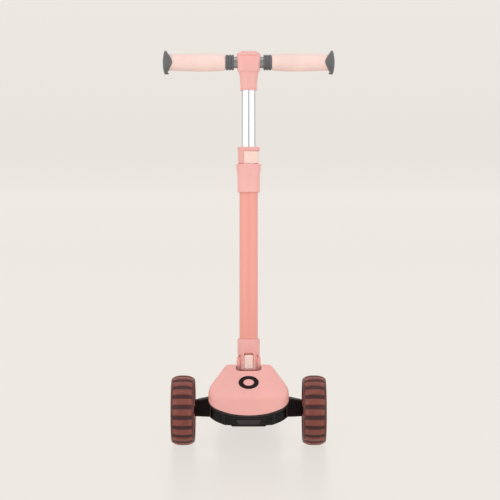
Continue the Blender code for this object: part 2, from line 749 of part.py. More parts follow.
def make_brake_fender(chassis):
    """A sprung arch over the rear wheel, hinged at the deck's tail."""
    swing = datum("brake_axis", BRAKE_HINGE, parent=chassis)
    wheel = (WHEELBASE - BRAKE_HINGE.y, REAR_WHEEL_RADIUS - BRAKE_HINGE.z)
    inner = circle_points(45.5 * MM, 13, radians(13), radians(136), wheel)
    outer = circle_points(49 * MM, 13, radians(128), radians(13), wheel)
    knuckle = circle_points(5 * MM, 8, radians(70), radians(290))
    arch = inner + knuckle[::-1] + outer
    fender = piece("brake_fender", prism(arch, -19.5 * MM, 19.5 * MM, "X", chamfer=1 * MM),
                   "pink_plastic", swing)
    for side in (-1, 1):
        low, high = sorted((side * 14.6 * MM, side * 30 * MM))
        cut(fender, tool(block((low, -8 * MM, -12 * MM), (high, 7 * MM, 12 * MM)), swing))
    cut(fender, tool(block((-6.6 * MM, -8 * MM, -12 * MM), (6.6 * MM, 5.2 * MM, 5.8 * MM)), swing))
    cut(fender, tool(solid_rod(2.3 * MM, -30 * MM, 30 * MM, segments=12), swing,
                     rotation=(0, radians(90), 0)))


# ---------------------------------------------------------------- stem

def make_lower_sleeve(stem):
    """The stem's foot: tube socket, hinge knuckle and the frame around the fold button."""
    sleeve = solid_rod(SLEEVE_RADIUS, SLEEVE_BOTTOM, SLEEVE_TOP, 1 * MM, ROUND_SEGMENTS)
    sleeve = piece("lower_sleeve", sleeve, "pink_plastic", stem)
    knuckle = circle_points(13 * MM, 12, pi, 2 * pi) + [(13 * MM, 18 * MM), (-13 * MM, 18 * MM)]
    join(sleeve, tool(prism(knuckle, -13.8 * MM, 13.8 * MM, "X"), stem))
    frame = rounded([
        (-11.5 * MM, -8 * MM),
        (11.5 * MM, -8 * MM),
        (11.5 * MM, 24 * MM),
        (-11.5 * MM, 24 * MM),
    ], 4 * MM)
    join(sleeve, tool(prism(frame, -22 * MM, -8 * MM, "Y", chamfer=0.8 * MM), stem))
    cut(sleeve, tool(solid_rod(OUTER_TUBE_RADIUS + GAP, OUTER_TUBE_BOTTOM - GAP, 60 * MM,
                               segments=ROUND_SEGMENTS), stem))
    cut(sleeve, tool(block((-7.8 * MM, -30 * MM, -6.2 * MM), (7.8 * MM, -9 * MM, 18.2 * MM)), stem))
    cut(sleeve, tool(solid_rod(4 * MM + GAP, -30 * MM, 30 * MM), stem,
                     rotation=(0, radians(90), 0)))


def make_stem_tubes(stem):
    piece("outer_tube", tube(OUTER_TUBE_BORE, OUTER_TUBE_RADIUS, OUTER_TUBE_BOTTOM,
                             OUTER_TUBE_TOP), "pink_tube", stem)
    upper = lathe([
        (OUTER_TUBE_RADIUS + GAP, 297.6 * MM),
        (18.9 * MM, 297.6 * MM),
        (19.6 * MM, 298.6 * MM),
        (19.6 * MM, 333 * MM),
        (20.2 * MM, 338 * MM),
        (21.85 * MM, 343.5 * MM),
        (21.85 * MM, 346.2 * MM),
        (21.2 * MM, 347 * MM),
        (OUTER_TUBE_RADIUS + GAP, 347 * MM),
    ])
    piece("upper_sleeve", upper, "pink_plastic", stem)
    piece("tube_bushing", tube(SLIDING_BORE, 13.9 * MM, 300 * MM, OUTER_TUBE_TOP), "grey_rubber",
          stem)


def ring_sector(inner, outer, start, end, steps=18):
    """Plan outline of a curved band; angles run from the front towards +X."""
    band = circle_points(outer, steps, start - pi / 2, end - pi / 2)
    return band + circle_points(inner, steps, end - pi / 2, start - pi / 2)


def make_clamp(stem):
    """The split collar that grips the inner tube, with its bolt and lever pin."""
    collar = piece("clamp_collar", lathe([
        (SLIDING_BORE, CLAMP_BOTTOM),
        (CLAMP_RADIUS, CLAMP_BOTTOM),
        (CLAMP_RADIUS, 369.8 * MM),
        (19.4 * MM, 370.4 * MM),
        (19.4 * MM, 375.2 * MM),
        (18.4 * MM, CLAMP_TOP),
        (SLIDING_BORE, CLAMP_TOP),
    ]), "pink_plastic", stem)
    pocket = ring_sector(15 * MM, 30 * MM, radians(-21), radians(152))
    cut(collar, tool(prism(pocket, 349.2 * MM, 368.8 * MM), stem))
    join(collar, tool(block((-8 * MM, 13.6 * MM, 351 * MM), (8 * MM, 25 * MM, 367 * MM), 1 * MM),
                      stem))
    cut(collar, tool(solid_rod(SLIDING_BORE, 330 * MM, 390 * MM, segments=ROUND_SEGMENTS), stem))
    cut(collar, tool(block((-0.9 * MM, 5 * MM, 340 * MM), (0.9 * MM, 40 * MM, 380 * MM)), stem))
    across = (0, radians(90), 0)
    seat = (0, LEVER_PIVOT.y, LEVER_PIVOT.z)
    cut(collar, tool(solid_rod(2.8 * MM, -30 * MM, 30 * MM, segments=12), stem, seat, across))
    bolt = piece("clamp_bolt", solid_rod(2.5 * MM, -12 * MM, 12 * MM, segments=12), "steel", stem,
                 seat, across)
    join(bolt, tool(solid_rod(3.7 * MM, -12.4 * MM, -8.3 * MM, 0.6 * MM, 16), stem, seat, across))
    join(bolt, tool(solid_rod(4.2 * MM, -2.9 * MM, 2.9 * MM, segments=16), stem, LEVER_PIVOT))
    cut(bolt, tool(solid_rod(2.3 * MM, -20 * MM, 20 * MM, segments=12), stem, LEVER_PIVOT))
    piece("lever_pin", solid_rod(2 * MM, -9 * MM, 9 * MM, 0.4 * MM, 12), "steel", stem,
          LEVER_PIVOT)


def make_lever(stem):
    """The quick-release lever that wraps round the collar from its pivot to the front."""
    swing = datum("lever_axis", LEVER_PIVOT, parent=stem)
    start = radians(-19)
    end = radians(112)
    shift = Vector((LEVER_PIVOT.x, LEVER_PIVOT.y))
    outer = circle_points(18.2 * MM, 14, start - pi / 2, end - pi / 2)
    inner = circle_points(15.4 * MM, 14, end - pi / 2, start - pi / 2)
    knuckle = circle_points(4.6 * MM, 10, radians(0), radians(180), shift)
    outline = outer + [(17.4 * MM, 15 * MM)] + knuckle + [(12.6 * MM, 12.6 * MM)] + inner
    outline = [(x - shift.x, y - shift.y) for x, y in outline]
    lever = piece("quick_release_lever",
                  prism(outline, -9.2 * MM, 9.2 * MM, chamfer=0.7 * MM), "cream_plastic", swing)
    cut(lever, tool(block((-5.5 * MM, -5 * MM, -3.3 * MM), (6 * MM, 8 * MM, 3.3 * MM)), swing))
    cut(lever, tool(solid_rod(2.3 * MM, -20 * MM, 20 * MM, segments=12), swing))


def make_fold_button(stem):
    travel = datum("button_axis", (0, -15 * MM, 6 * MM), parent=stem)
    face = rounded([
        (-7.5 * MM, -11.9 * MM),
        (7.5 * MM, -11.9 * MM),
        (7.5 * MM, 11.9 * MM),
        (-7.5 * MM, 11.9 * MM),
    ], 1.5 * MM)
    piece("fold_button", prism(face, -8 * MM, 0, "Y", chamfer=0.8 * MM), "cream_plastic", travel)
    piece("fold_button_spring", coil(3.2 * MM, 0.6 * MM, 2.5, 5.2 * MM), "steel", stem,
          (0, -14.5 * MM, 8 * MM), (radians(-90), 0, 0))


# ---------------------------------------------------------------- handlebar

def make_handlebar(stem):
    bar = datum("height_axis", (0, 0, BAR_HEIGHT), parent=stem)
    across = (0, radians(90), 0)
    piece("inner_tube", tube(11.2 * MM, INNER_TUBE_RADIUS, INNER_TUBE_BOTTOM - BAR_HEIGHT,
                             INNER_TUBE_TOP - BAR_HEIGHT), "silver_tube", bar)
    neck = lathe([
        (0, -48.5 * MM),
        (14.6 * MM, -48.5 * MM),
        (15 * MM, -47.5 * MM),
        (15 * MM, -45 * MM),
        (14.6 * MM, -43.5 * MM),
        (15.2 * MM, -30 * MM),
        (17 * MM, -16 * MM),
        (17 * MM, -6.5 * MM),
        (0, -6.5 * MM),
    ])
    joint = piece("t_joint", neck, "pink_plastic", bar)
    join(joint, tool(solid_rod(18.3 * MM, -21 * MM, 21 * MM, 2 * MM, ROUND_SEGMENTS), bar,
                     rotation=across))
    cut(joint, tool(solid_rod(SLIDING_BORE, -60 * MM, INNER_TUBE_TOP - BAR_HEIGHT + GAP,
                              segments=ROUND_SEGMENTS), bar))
    cut(joint, tool(solid_rod(BAR_RADIUS + GAP, -40 * MM, 40 * MM, segments=ROUND_SEGMENTS), bar,
                    rotation=across))
    backward = (radians(-90), radians(11), 0)
    for name, height, tip in (("bar_set_screw", 0, BAR_RADIUS + GAP),
                              ("stem_set_screw", -32 * MM, INNER_TUBE_RADIUS + GAP)):
        cut(joint, tool(solid_rod(2.3 * MM, 8 * MM, 40 * MM, segments=12), bar, (0, 0, height),
                        backward))
        if tip < INNER_TUBE_RADIUS:
            cut(joint, tool(solid_rod(4.2 * MM, tip + 3.2 * MM, 40 * MM), bar, (0, 0, height),
                            backward))
        screw = lathe([
            (0, tip + 0.2 * MM),
            (2 * MM, tip + 0.2 * MM),
            (2 * MM, tip + 3.5 * MM),
            (3.8 * MM, tip + 3.5 * MM),
            (3.8 * MM, tip + 6 * MM),
            (0, tip + 6 * MM),
        ], 12)
        piece(name, screw, "steel", bar, (0, 0, height), backward)
    cap = circle_points(20.5 * MM, 14, radians(28), radians(152))
    cap = cap + circle_points(18.7 * MM, 14, radians(152), radians(28))
    piece("t_cap", prism(cap, -14 * MM, 14 * MM, "X", chamfer=0.5 * MM), "pink_plastic", bar)
    piece("handlebar_tube", tube(8.4 * MM, BAR_RADIUS, -BAR_HALF_LENGTH, BAR_HALF_LENGTH),
          "silver_tube", bar, rotation=across)
    for side, name in ((1, "left"), (-1, "right")):
        make_grip(bar, name, (0, side * radians(90), 0))


def grip_profile():
    """Closed section of a grip that swells slightly towards its inner half."""
    bore = BAR_RADIUS + GAP
    length = GRIP_OUTER_END - GRIP_INNER_END
    steps = 5
    outside = [
        (13.6 * MM + 1.9 * MM * sin(pi * (i / steps) ** 0.8), GRIP_INNER_END + length * i / steps)
        for i in range(steps + 1)
    ]
    return [(bore, GRIP_INNER_END)] + outside + [(bore, GRIP_OUTER_END)]


def make_grip(bar, name, turn):
    bore = BAR_RADIUS + GAP
    collar = [(bore, COLLAR_INNER_END)]
    for ridge in range(2):
        start = COLLAR_INNER_END + ridge * 7.4 * MM
        collar += [
            (13.5 * MM, start),
            (13.5 * MM, start + 5.8 * MM),
            (12.6 * MM, start + 6.2 * MM),
            (12.6 * MM, start + 6.8 * MM),
        ]
    collar += [(bore, collar[-1][1])]
    piece("grip_collar_" + name, lathe(collar, 20), "grey_rubber", bar, rotation=turn)
    piece("grip_" + name, lathe(grip_profile(), 20), "pale_pink_rubber", bar, rotation=turn)
    end = [
        (bore, GRIP_OUTER_END + GAP),
        (14 * MM, GRIP_OUTER_END + GAP),
        (20 * MM, GRIP_OUTER_END + 6 * MM),
        (21 * MM, GRIP_OUTER_END + 8 * MM),
        (21 * MM, GRIP_OUTER_END + 9.5 * MM),
        (13 * MM, GRIP_OUTER_END + 15 * MM),
        (0, BAR_END),
        (0, BAR_HALF_LENGTH + GAP),
        (bore, BAR_HALF_LENGTH + GAP),
    ]
    piece("grip_end_" + name, lathe(end, 20), "grey_rubber", bar, rotation=turn)


# ---------------------------------------------------------------- assembly

def build():
    clear_scene()
    chassis = datum("chassis_datum", (0, FRONT_AXLE_Y, 0))
    make_deck(chassis)
    make_deck_mat(chassis)
    make_front_cover(chassis)
    make_cover_badge(chassis)
    make_front_bumper(chassis)
    make_stem_bracket(chassis)
    make_deck_fasteners(chassis)
    make_rear_fittings(chassis)
    truck = datum("steer_axis", STEER_POINT, parent=chassis)
    make_axle_carrier(truck)
    make_truck_fittings(truck)
    make_wheels(chassis, truck)
    make_brake_fender(chassis)
    stem = datum("fold_axis", FOLD_HINGE, (-STEM_LEAN, 0, 0), chassis)
    make_lower_sleeve(stem)
    make_stem_tubes(stem)
    make_clamp(stem)
    make_lever(stem)
    make_fold_button(stem)
    make_handlebar(stem)


build()
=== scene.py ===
"""Looks of the three-wheeled kick scooter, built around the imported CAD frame.

Units are metres, +Z is up and the scooter faces -Y. Pieces on the stem are made in the stem's
own frame: its origin is the fold hinge, x is the rider's left, y points back and z runs up the
stem. Wheels are made about their axles. Every piece is then moved to where the frame says.
"""

import json
from math import atan2, cos, exp, pi, radians, sin, tan

import bmesh
import bpy
from mathutils import Matrix, Vector


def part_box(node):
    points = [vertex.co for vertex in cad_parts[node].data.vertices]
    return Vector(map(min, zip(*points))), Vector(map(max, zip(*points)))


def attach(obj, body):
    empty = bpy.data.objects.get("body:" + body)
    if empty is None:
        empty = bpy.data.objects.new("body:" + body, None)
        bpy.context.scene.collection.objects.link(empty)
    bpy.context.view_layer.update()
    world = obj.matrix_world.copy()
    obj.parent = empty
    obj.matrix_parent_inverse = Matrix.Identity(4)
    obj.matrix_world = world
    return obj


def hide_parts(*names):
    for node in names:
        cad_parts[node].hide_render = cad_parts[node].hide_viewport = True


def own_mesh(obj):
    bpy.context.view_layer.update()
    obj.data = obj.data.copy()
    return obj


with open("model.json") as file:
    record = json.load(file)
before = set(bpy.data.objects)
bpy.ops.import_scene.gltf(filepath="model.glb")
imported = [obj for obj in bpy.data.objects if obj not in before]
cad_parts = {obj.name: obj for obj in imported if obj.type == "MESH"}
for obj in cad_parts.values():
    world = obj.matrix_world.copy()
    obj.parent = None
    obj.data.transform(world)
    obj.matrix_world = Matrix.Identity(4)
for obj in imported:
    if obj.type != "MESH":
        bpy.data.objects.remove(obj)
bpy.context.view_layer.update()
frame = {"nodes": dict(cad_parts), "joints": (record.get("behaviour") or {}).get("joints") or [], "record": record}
JOINTS = {joint["name"]: joint for joint in frame["joints"]}

MM = 0.001
FINE = 96
SIDES = ((1, "left"), (-1, "right"))

# The stem's frame and the handlebar's height on it, from the joints.
FOLD_HINGE = Vector(JOINTS["stem_fold"]["pos_m"])
STEM_AXIS = Vector(JOINTS["bar_height"]["axis"])
STEM = Matrix.Translation(FOLD_HINGE) @ Matrix.Rotation(-atan2(STEM_AXIS.y, STEM_AXIS.z), 4, "X")
BAR_CENTRE = (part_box("handlebar_tube")[0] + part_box("handlebar_tube")[1]) / 2
BAR_HEIGHT = (BAR_CENTRE - FOLD_HINGE).dot(STEM_AXIS)
AXLE_Y = JOINTS["front_left_spin"]["pos_m"][1]
CHASSIS = Matrix.Translation((0, AXLE_Y, 0))
STEER_POINT = Vector(JOINTS["steer"]["pos_m"])
STEER_AXIS = Vector(JOINTS["steer"]["axis"])


# ---------------------------------------------------------------- meshes

def mm(*values):
    """The same lengths, given in millimetres."""
    return tuple(value * MM for value in values)


def circle_points(radius, segments, start=0.0, end=2 * pi, centre=(0, 0)):
    """Points on an arc; a full circle leaves its last point out."""
    full = abs(end - start - 2 * pi) < 1e-6
    steps = segments if full else segments + 1
    step = (end - start) / segments
    return [
        (centre[0] + radius * cos(start + i * step), centre[1] + radius * sin(start + i * step))
        for i in range(steps)
    ]


def rounded(points, radius, steps=5):
    """Replaces each corner of an outline by an arc; radius may be a list, one per corner."""
    result = []
    count = len(points)
    for i in range(count):
        size = radius[i] if isinstance(radius, (list, tuple)) else radius
        here = Vector(points[i])
        before = Vector(points[i - 1]) - here
        after = Vector(points[(i + 1) % count]) - here
        half = before.angle(after) / 2
        if size <= 0 or half > pi / 2 - 1e-3:
            result.append(tuple(here))
            continue
        reach = min(size / tan(half), before.length * 0.48, after.length * 0.48)
        bend = reach * tan(half)
        before.normalize()
        after.normalize()
        middle = here + (before + after).normalized() * (bend / sin(half))
        start = here + before * reach - middle
        end = here + after * reach - middle
        first = atan2(start.y, start.x)
        sweep = (atan2(end.y, end.x) - first + pi) % (2 * pi) - pi
        for step in range(steps + 1):
            angle = first + sweep * step / steps
            result.append((middle.x + bend * cos(angle), middle.y + bend * sin(angle)))
    return result


def smooth_profile(points, radius=0.6 * MM, steps=3):
    """Rounds the corners of a closed turned section that stays off the axis."""
    return rounded(points, radius, steps)


def lathe(profile, segments=FINE):
    """Turns a closed (radius, height) outline about Z; radius 0 points become poles."""
    bm = bmesh.new()
    rings = []
    for radius, height in profile:
        if radius <= 1e-7:
            rings.append([bm.verts.new((0, 0, height))])
            continue
        rings.append([bm.verts.new((x, y, height)) for x, y in circle_points(radius, segments)])
    for index, ring in enumerate(rings):
        following = rings[(index + 1) % len(rings)]
        if len(ring) == 1 and len(following) == 1:
            continue
        for i in range(segments):
            j = (i + 1) % segments
            if len(ring) == 1:
                bm.faces.new((ring[0], following[i], following[j]))
            elif len(following) == 1:
                bm.faces.new((ring[i], following[0], ring[j]))
            else:
                bm.faces.new((ring[i], following[i], following[j], ring[j]))
    return bm


def loft(sections, closed_ends=True):
    """Skins a list of point rings that all have the same count."""
    bm = bmesh.new()
    rings = [[bm.verts.new(p) for p in section] for section in sections]
    for first, second in zip(rings, rings[1:]):
        count = len(first)
        for k in range(count):
            n = (k + 1) % count
            bm.faces.new((first[k], first[n], second[n], second[k]))
    if closed_ends:
        bm.faces.new(rings[0])
        bm.faces.new(rings[-1])
    return bm


def prism(outline, low, high, axis="Z"):
    """Extrudes an outline: (x, y) along Z, (y, z) along X or (x, z) along Y."""
    bm = bmesh.new()
    face = bm.faces.new([bm.verts.new((a, b, low)) for a, b in outline])
    grown = bmesh.ops.extrude_face_region(bm, geom=[face])
    top = [v for v in grown["geom"] if isinstance(v, bmesh.types.BMVert)]
    bmesh.ops.translate(bm, verts=top, vec=(0, 0, high - low))
    if axis == "X":
        turn(bm, Matrix(((0, 0, 1, 0), (1, 0, 0, 0), (0, 1, 0, 0), (0, 0, 0, 1))))
    if axis == "Y":
        turn(bm, Matrix(((1, 0, 0, 0), (0, 0, 1, 0), (0, 1, 0, 0), (0, 0, 0, 1))))
    bmesh.ops.recalc_face_normals(bm, faces=bm.faces)
    return bm


def block(low, high):
    bm = bmesh.new()
    low = Vector(low)
    high = Vector(high)
    bmesh.ops.create_cube(bm, size=1)
    bmesh.ops.scale(bm, verts=bm.verts, vec=high - low)
    bmesh.ops.translate(bm, verts=bm.verts, vec=(high + low) / 2)
    return bm


def rod(radius, low, high, segments=32):
    return lathe([(0, low), (radius, low), (radius, high), (0, high)], segments)


def turn(bm, matrix):
    bmesh.ops.transform(bm, verts=bm.verts, matrix=matrix)
    return bm


def along_x(side=1):
    """Carries +Z onto +X, or onto -X on the other side."""
    return Matrix.Rotation(side * radians(90), 4, "Y")


def onto(axis):
    return Vector((0, 0, 1)).rotation_difference(axis).to_matrix().to_4x4()


def temporary(bm):
    bmesh.ops.recalc_face_normals(bm, faces=bm.faces)
    mesh = bpy.data.meshes.new("temporary")
    bm.to_mesh(mesh)
    bm.free()
    obj = bpy.data.objects.new("temporary", mesh)
    bpy.context.scene.collection.objects.link(obj)
    return obj


def taken(obj):
    """The shape of a temporary object, which is then deleted."""
    bm = bmesh.new()
    bm.from_mesh(obj.data)
    bpy.data.objects.remove(obj, do_unlink=True)
    return bm


def settle(obj):
    """Makes the result of an object's modifiers its mesh."""
    graph = bpy.context.evaluated_depsgraph_get()
    mesh = bpy.data.meshes.new_from_object(obj.evaluated_get(graph))
    old = obj.data
    obj.modifiers.clear()
    obj.data = mesh
    bpy.data.meshes.remove(old)


def boolean(obj, bms, operation="DIFFERENCE"):
    """Cuts or joins shapes one after the other."""
    for bm in bms:
        other = temporary(bm)
        modifier = obj.modifiers.new("boolean", "BOOLEAN")
        modifier.operation = operation
        modifier.solver = "EXACT"
        modifier.object = other
        settle(obj)
        bpy.data.objects.remove(other, do_unlink=True)


def soften(obj, width, segments=3, angle=35):
    """Rounds the sharp edges of a piece."""
    bevel = obj.modifiers.new("bevel", "BEVEL")
    bevel.width = width
    bevel.segments = segments
    bevel.limit_method = "ANGLE"
    bevel.angle_limit = radians(angle)
    bevel.use_clamp_overlap = True
    settle(obj)


def piece(name, bm, body, surface, nodes=(), place=Matrix.Identity(4), joins=(), cuts=(),
          bevel=0.0, bevel_segments=3, sharp=38):
    """Makes one visible piece, gives it its body and material, and hides what it replaces."""
    obj = temporary(bm)
    boolean(obj, joins, "UNION")
    boolean(obj, cuts)
    if bevel:
        soften(obj, bevel, bevel_segments)
    obj.name = name
    obj.data.name = name
    obj.data.transform(place)
    obj.data.materials.clear()
    obj.data.materials.append(LOOK[surface])
    obj.data.shade_smooth()
    obj.data.set_sharp_from_angle(angle=radians(sharp))
    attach(obj, body)
    if nodes:
        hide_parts(*nodes)
    return obj


# ---------------------------------------------------------------- materials

def new_material(name):
    made = bpy.data.materials.new(name)
    made.use_nodes = True
    tree = made.node_tree
    return made, tree, tree.nodes["Principled BSDF"]


def noise_node(tree, scale, detail=4, roughness=0.55, stretch=(1, 1, 1)):
    """Noise in the object's own space, optionally stretched along an axis."""
    place = tree.nodes.new("ShaderNodeTexCoord")
    mapping = tree.nodes.new("ShaderNodeMapping")
    mapping.inputs["Scale"].default_value = stretch
    texture = tree.nodes.new("ShaderNodeTexNoise")
    texture.inputs["Scale"].default_value = scale
    texture.inputs["Detail"].default_value = detail
    texture.inputs["Roughness"].default_value = roughness
    tree.links.new(place.outputs["Object"], mapping.inputs["Vector"])
    tree.links.new(mapping.outputs["Vector"], texture.inputs["Vector"])
    return texture


def spread(tree, source, low, high, start=0.3, end=0.7):
    """Maps a texture's middle range onto two values."""
    node = tree.nodes.new("ShaderNodeMapRange")
    node.inputs["From Min"].default_value = start
    node.inputs["From Max"].default_value = end
    node.inputs["To Min"].default_value = low
    node.inputs["To Max"].default_value = high
    tree.links.new(source, node.inputs["Value"])
    return node.outputs["Result"]


def blend_colours(tree, factor, first, second):
    node = tree.nodes.new("ShaderNodeMix")
    node.data_type = "RGBA"
    node.inputs["A"].default_value = (*first, 1)
    node.inputs["B"].default_value = (*second, 1)
    tree.links.new(factor, node.inputs["Factor"])
    return node.outputs["Result"]


def add_bump(tree, shader, height, strength, distance, under=None):
    bump = tree.nodes.new("ShaderNodeBump")
    bump.inputs["Strength"].default_value = strength
    bump.inputs["Distance"].default_value = distance
    tree.links.new(height, bump.inputs["Height"])
    if under:
        tree.links.new(under, bump.inputs["Normal"])
    tree.links.new(bump.outputs["Normal"], shader.inputs["Normal"])
    return bump.outputs["Normal"]


def tone(colour, gain):
    return tuple(max(0.0, min(1.0, c * gain)) for c in colour)


def moulded(name, colour, roughness, grain=2600, grain_depth=0.02 * MM, variation=0.05, coat=0.0,
            subsurface=0.0, specular=0.5):
    """Moulded plastic: slow colour drift, fine spark-eroded grain and uneven gloss."""
    made, tree, shader = new_material(name)
    drift = noise_node(tree, 14, 3)
    factor = spread(tree, drift.outputs["Fac"], 0, 1)
    colours = blend_colours(tree, factor, tone(colour, 1 - variation), tone(colour, 1 + variation))
    tree.links.new(colours, shader.inputs["Base Color"])
    gloss = noise_node(tree, 90, 5)
    tree.links.new(spread(tree, gloss.outputs["Fac"], roughness - 0.05, roughness + 0.06),
                   shader.inputs["Roughness"])
    fine = noise_node(tree, grain, 2)
    broad = noise_node(tree, 60, 2)
    under = add_bump(tree, shader, broad.outputs["Fac"], 0.25, 0.10 * MM)
    add_bump(tree, shader, fine.outputs["Fac"], 0.6, grain_depth, under)
    shader.inputs["Specular IOR Level"].default_value = specular
    shader.inputs["Coat Weight"].default_value = coat
    shader.inputs["Coat Roughness"].default_value = 0.12
    shader.inputs["Subsurface Weight"].default_value = subsurface
    shader.inputs["Subsurface Radius"].default_value = mm(4, 1.6, 1.2)
    shader.inputs["Subsurface Scale"].default_value = 0.5
    return made


def painted(name, colour):
    """Satin paint on tube: orange peel, a little fleck and a thin clear coat."""
    made, tree, shader = new_material(name)
    drift = noise_node(tree, 9, 3, stretch=(1, 1, 0.25))
    factor = spread(tree, drift.outputs["Fac"], 0, 1)
    colours = blend_colours(tree, factor, tone(colour, 0.965), tone(colour, 1.035))
    tree.links.new(colours, shader.inputs["Base Color"])
    peel = noise_node(tree, 420, 2)
    tree.links.new(spread(tree, peel.outputs["Fac"], 0.30, 0.40), shader.inputs["Roughness"])
    add_bump(tree, shader, peel.outputs["Fac"], 0.35, 0.03 * MM)
    shader.inputs["Coat Weight"].default_value = 0.35
    shader.inputs["Coat Roughness"].default_value = 0.14
    return made


def drawn_metal(name, colour, roughness, stretch, streak=900, depth=0.004 * MM):
    """Drawn or brushed metal with streaks along one axis."""
    made, tree, shader = new_material(name)
    streaks = noise_node(tree, streak, 3, stretch=stretch)
    factor = spread(tree, streaks.outputs["Fac"], 0, 1)
    colours = blend_colours(tree, factor, tone(colour, 0.95), tone(colour, 1.03))
    tree.links.new(colours, shader.inputs["Base Color"])
    tree.links.new(spread(tree, streaks.outputs["Fac"], roughness - 0.03, roughness + 0.05),
                   shader.inputs["Roughness"])
    add_bump(tree, shader, streaks.outputs["Fac"], 0.5, depth)
    shader.inputs["Metallic"].default_value = 1.0
    return made


def soft_rubber(name, colour, roughness=0.62, stipple=1500, depth=0.10 * MM, variation=0.05,
                specular=0.3):
    """Soft moulded rubber with a stippled skin."""
    made, tree, shader = new_material(name)
    drift = noise_node(tree, 30, 4)
    factor = spread(tree, drift.outputs["Fac"], 0, 1)
    colours = blend_colours(tree, factor, tone(colour, 1 - variation), tone(colour, 1 + variation))
    tree.links.new(colours, shader.inputs["Base Color"])
    place = tree.nodes.new("ShaderNodeTexCoord")
    cells = tree.nodes.new("ShaderNodeTexVoronoi")
    cells.inputs["Scale"].default_value = stipple
    tree.links.new(place.outputs["Object"], cells.inputs["Vector"])
    tree.links.new(spread(tree, cells.outputs["Distance"], roughness - 0.06, roughness + 0.08),
                   shader.inputs["Roughness"])
    add_bump(tree, shader, cells.outputs["Distance"], 0.4, depth)
    shader.inputs["Specular IOR Level"].default_value = specular
    shader.inputs["Sheen Weight"].default_value = 0.05
    return made


def urethane(name, groove, lit_block_colour):
    """Smoky translucent tyre: a per-vertex brightness on the mesh, which is painted light, mixes the dark groove
    colour (painted shade) into the light block colour (painted highlight).
    """
    made, tree, shader = new_material(name)
    painted_tread_shade = tree.nodes.new("ShaderNodeAttribute")
    painted_tread_shade.attribute_name = "painted_tread_shade"
    cloud = noise_node(tree, 55, 5)
    drift = spread(tree, cloud.outputs["Fac"], 0.82, 1.18)
    painted_light_mix = tree.nodes.new("ShaderNodeMath")
    painted_light_mix.operation = "MULTIPLY"
    painted_light_mix.use_clamp = True
    tree.links.new(painted_tread_shade.outputs["Fac"], painted_light_mix.inputs[0])
    tree.links.new(drift, painted_light_mix.inputs[1])
    # Painted light: the groove colour is painted shade and the block colour is a painted highlight.
    colours = blend_colours(tree, painted_light_mix.outputs["Value"], groove, lit_block_colour)
    tree.links.new(colours, shader.inputs["Base Color"])
    scuff = noise_node(tree, 700, 4)
    tree.links.new(spread(tree, scuff.outputs["Fac"], 0.30, 0.48), shader.inputs["Roughness"])
    add_bump(tree, shader, scuff.outputs["Fac"], 0.3, 0.05 * MM)
    shader.inputs["Specular IOR Level"].default_value = 0.3
    shader.inputs["Subsurface Weight"].default_value = 0.35
    shader.inputs["Subsurface Radius"].default_value = mm(5, 1.6, 1.2)
    shader.inputs["Subsurface Scale"].default_value = 1.0
    shader.inputs["Coat Weight"].default_value = 0.08
    shader.inputs["Coat Roughness"].default_value = 0.25
    return made


PINK = (0.845, 0.420, 0.385)
# A lighter copy of PINK for the T-joint, its cover and the flared sleeve: painted light on the upper parts.
PAINTED_LIGHT_PINK = (0.880, 0.455, 0.420)
BLACK = (0.0050, 0.0034, 0.0033)

LOOK = {
    "pink_shell": moulded("pink_shell", PINK, 0.40, subsurface=0.05),
    "pink_upper_painted_light": moulded("pink_upper_painted_light", PAINTED_LIGHT_PINK, 0.38, subsurface=0.05),
    "pink_bracket": moulded("pink_bracket", PINK, 0.44, grain=1800, grain_depth=0.03 * MM),
    "pink_tube": painted("pink_tube", (0.865, 0.345, 0.285)),
    "black_shell": moulded("black_shell", BLACK, 0.40, grain=1500, grain_depth=0.04 * MM,
                           variation=0.2, specular=0.22),
    "black_arm": moulded("black_arm", (0.0062, 0.0032, 0.0030), 0.45, grain=1500,
                         grain_depth=0.04 * MM, variation=0.2, specular=0.12),
    # Lighter blacks for the bumper's frames, plate and lip: painted highlights and painted sheen.
    "black_painted_sheen": moulded("black_painted_sheen", (0.028, 0.024, 0.023), 0.45, grain=1500,
                           grain_depth=0.04 * MM, variation=0.2, specular=0.3),
    "black_lip_painted_highlight": moulded("black_lip_painted_highlight", (0.016, 0.010, 0.009), 0.36, grain=1500,
                         grain_depth=0.04 * MM, variation=0.2, specular=0.45),
    "deck_plastic": moulded("deck_plastic", (0.016, 0.015, 0.016), 0.5, grain=1200,
                            grain_depth=0.05 * MM, variation=0.2, specular=0.3),
    "badge": moulded("badge", (0.004, 0.003, 0.003), 0.3, variation=0.2, specular=0.15),
    "wheel_hub": moulded("wheel_hub", (0.88, 0.43, 0.35), 0.38, subsurface=0.08),
    "cream_plastic": moulded("cream_plastic", (0.94, 0.70, 0.63), 0.36, variation=0.03,
                             subsurface=0.08),
    "grip": soft_rubber("grip", (0.93, 0.69, 0.63)),
    "grip_trim": soft_rubber("grip_trim", (0.135, 0.135, 0.140), 0.55, 1900, 0.06 * MM, 0.12),
    "grip_mat": soft_rubber("grip_mat", (0.028, 0.028, 0.030), 0.75, 1100, 0.14 * MM, 0.2),
    "bush": soft_rubber("bush", (0.13, 0.13, 0.14), 0.6),
    "silver_tube": drawn_metal("silver_tube", (0.83, 0.84, 0.85), 0.11, (1, 1, 0.02)),
    "bar_metal": drawn_metal("bar_metal", (0.36, 0.36, 0.37), 0.20, (0.02, 1, 1)),
    "steel": drawn_metal("steel", (0.42, 0.43, 0.45), 0.30, (1, 1, 1), 700),
    "spring_steel": drawn_metal("spring_steel", (0.36, 0.36, 0.38), 0.25, (1, 1, 1), 900),
    # Both tyre colours are painted light: the dark one is painted shade for grooves and sidewalls, the light one a
    # painted highlight for the blocks.
    "tyre": urethane("tyre", (0.050, 0.013, 0.014), (0.258, 0.069, 0.047)),
}


# ---------------------------------------------------------------- wheels

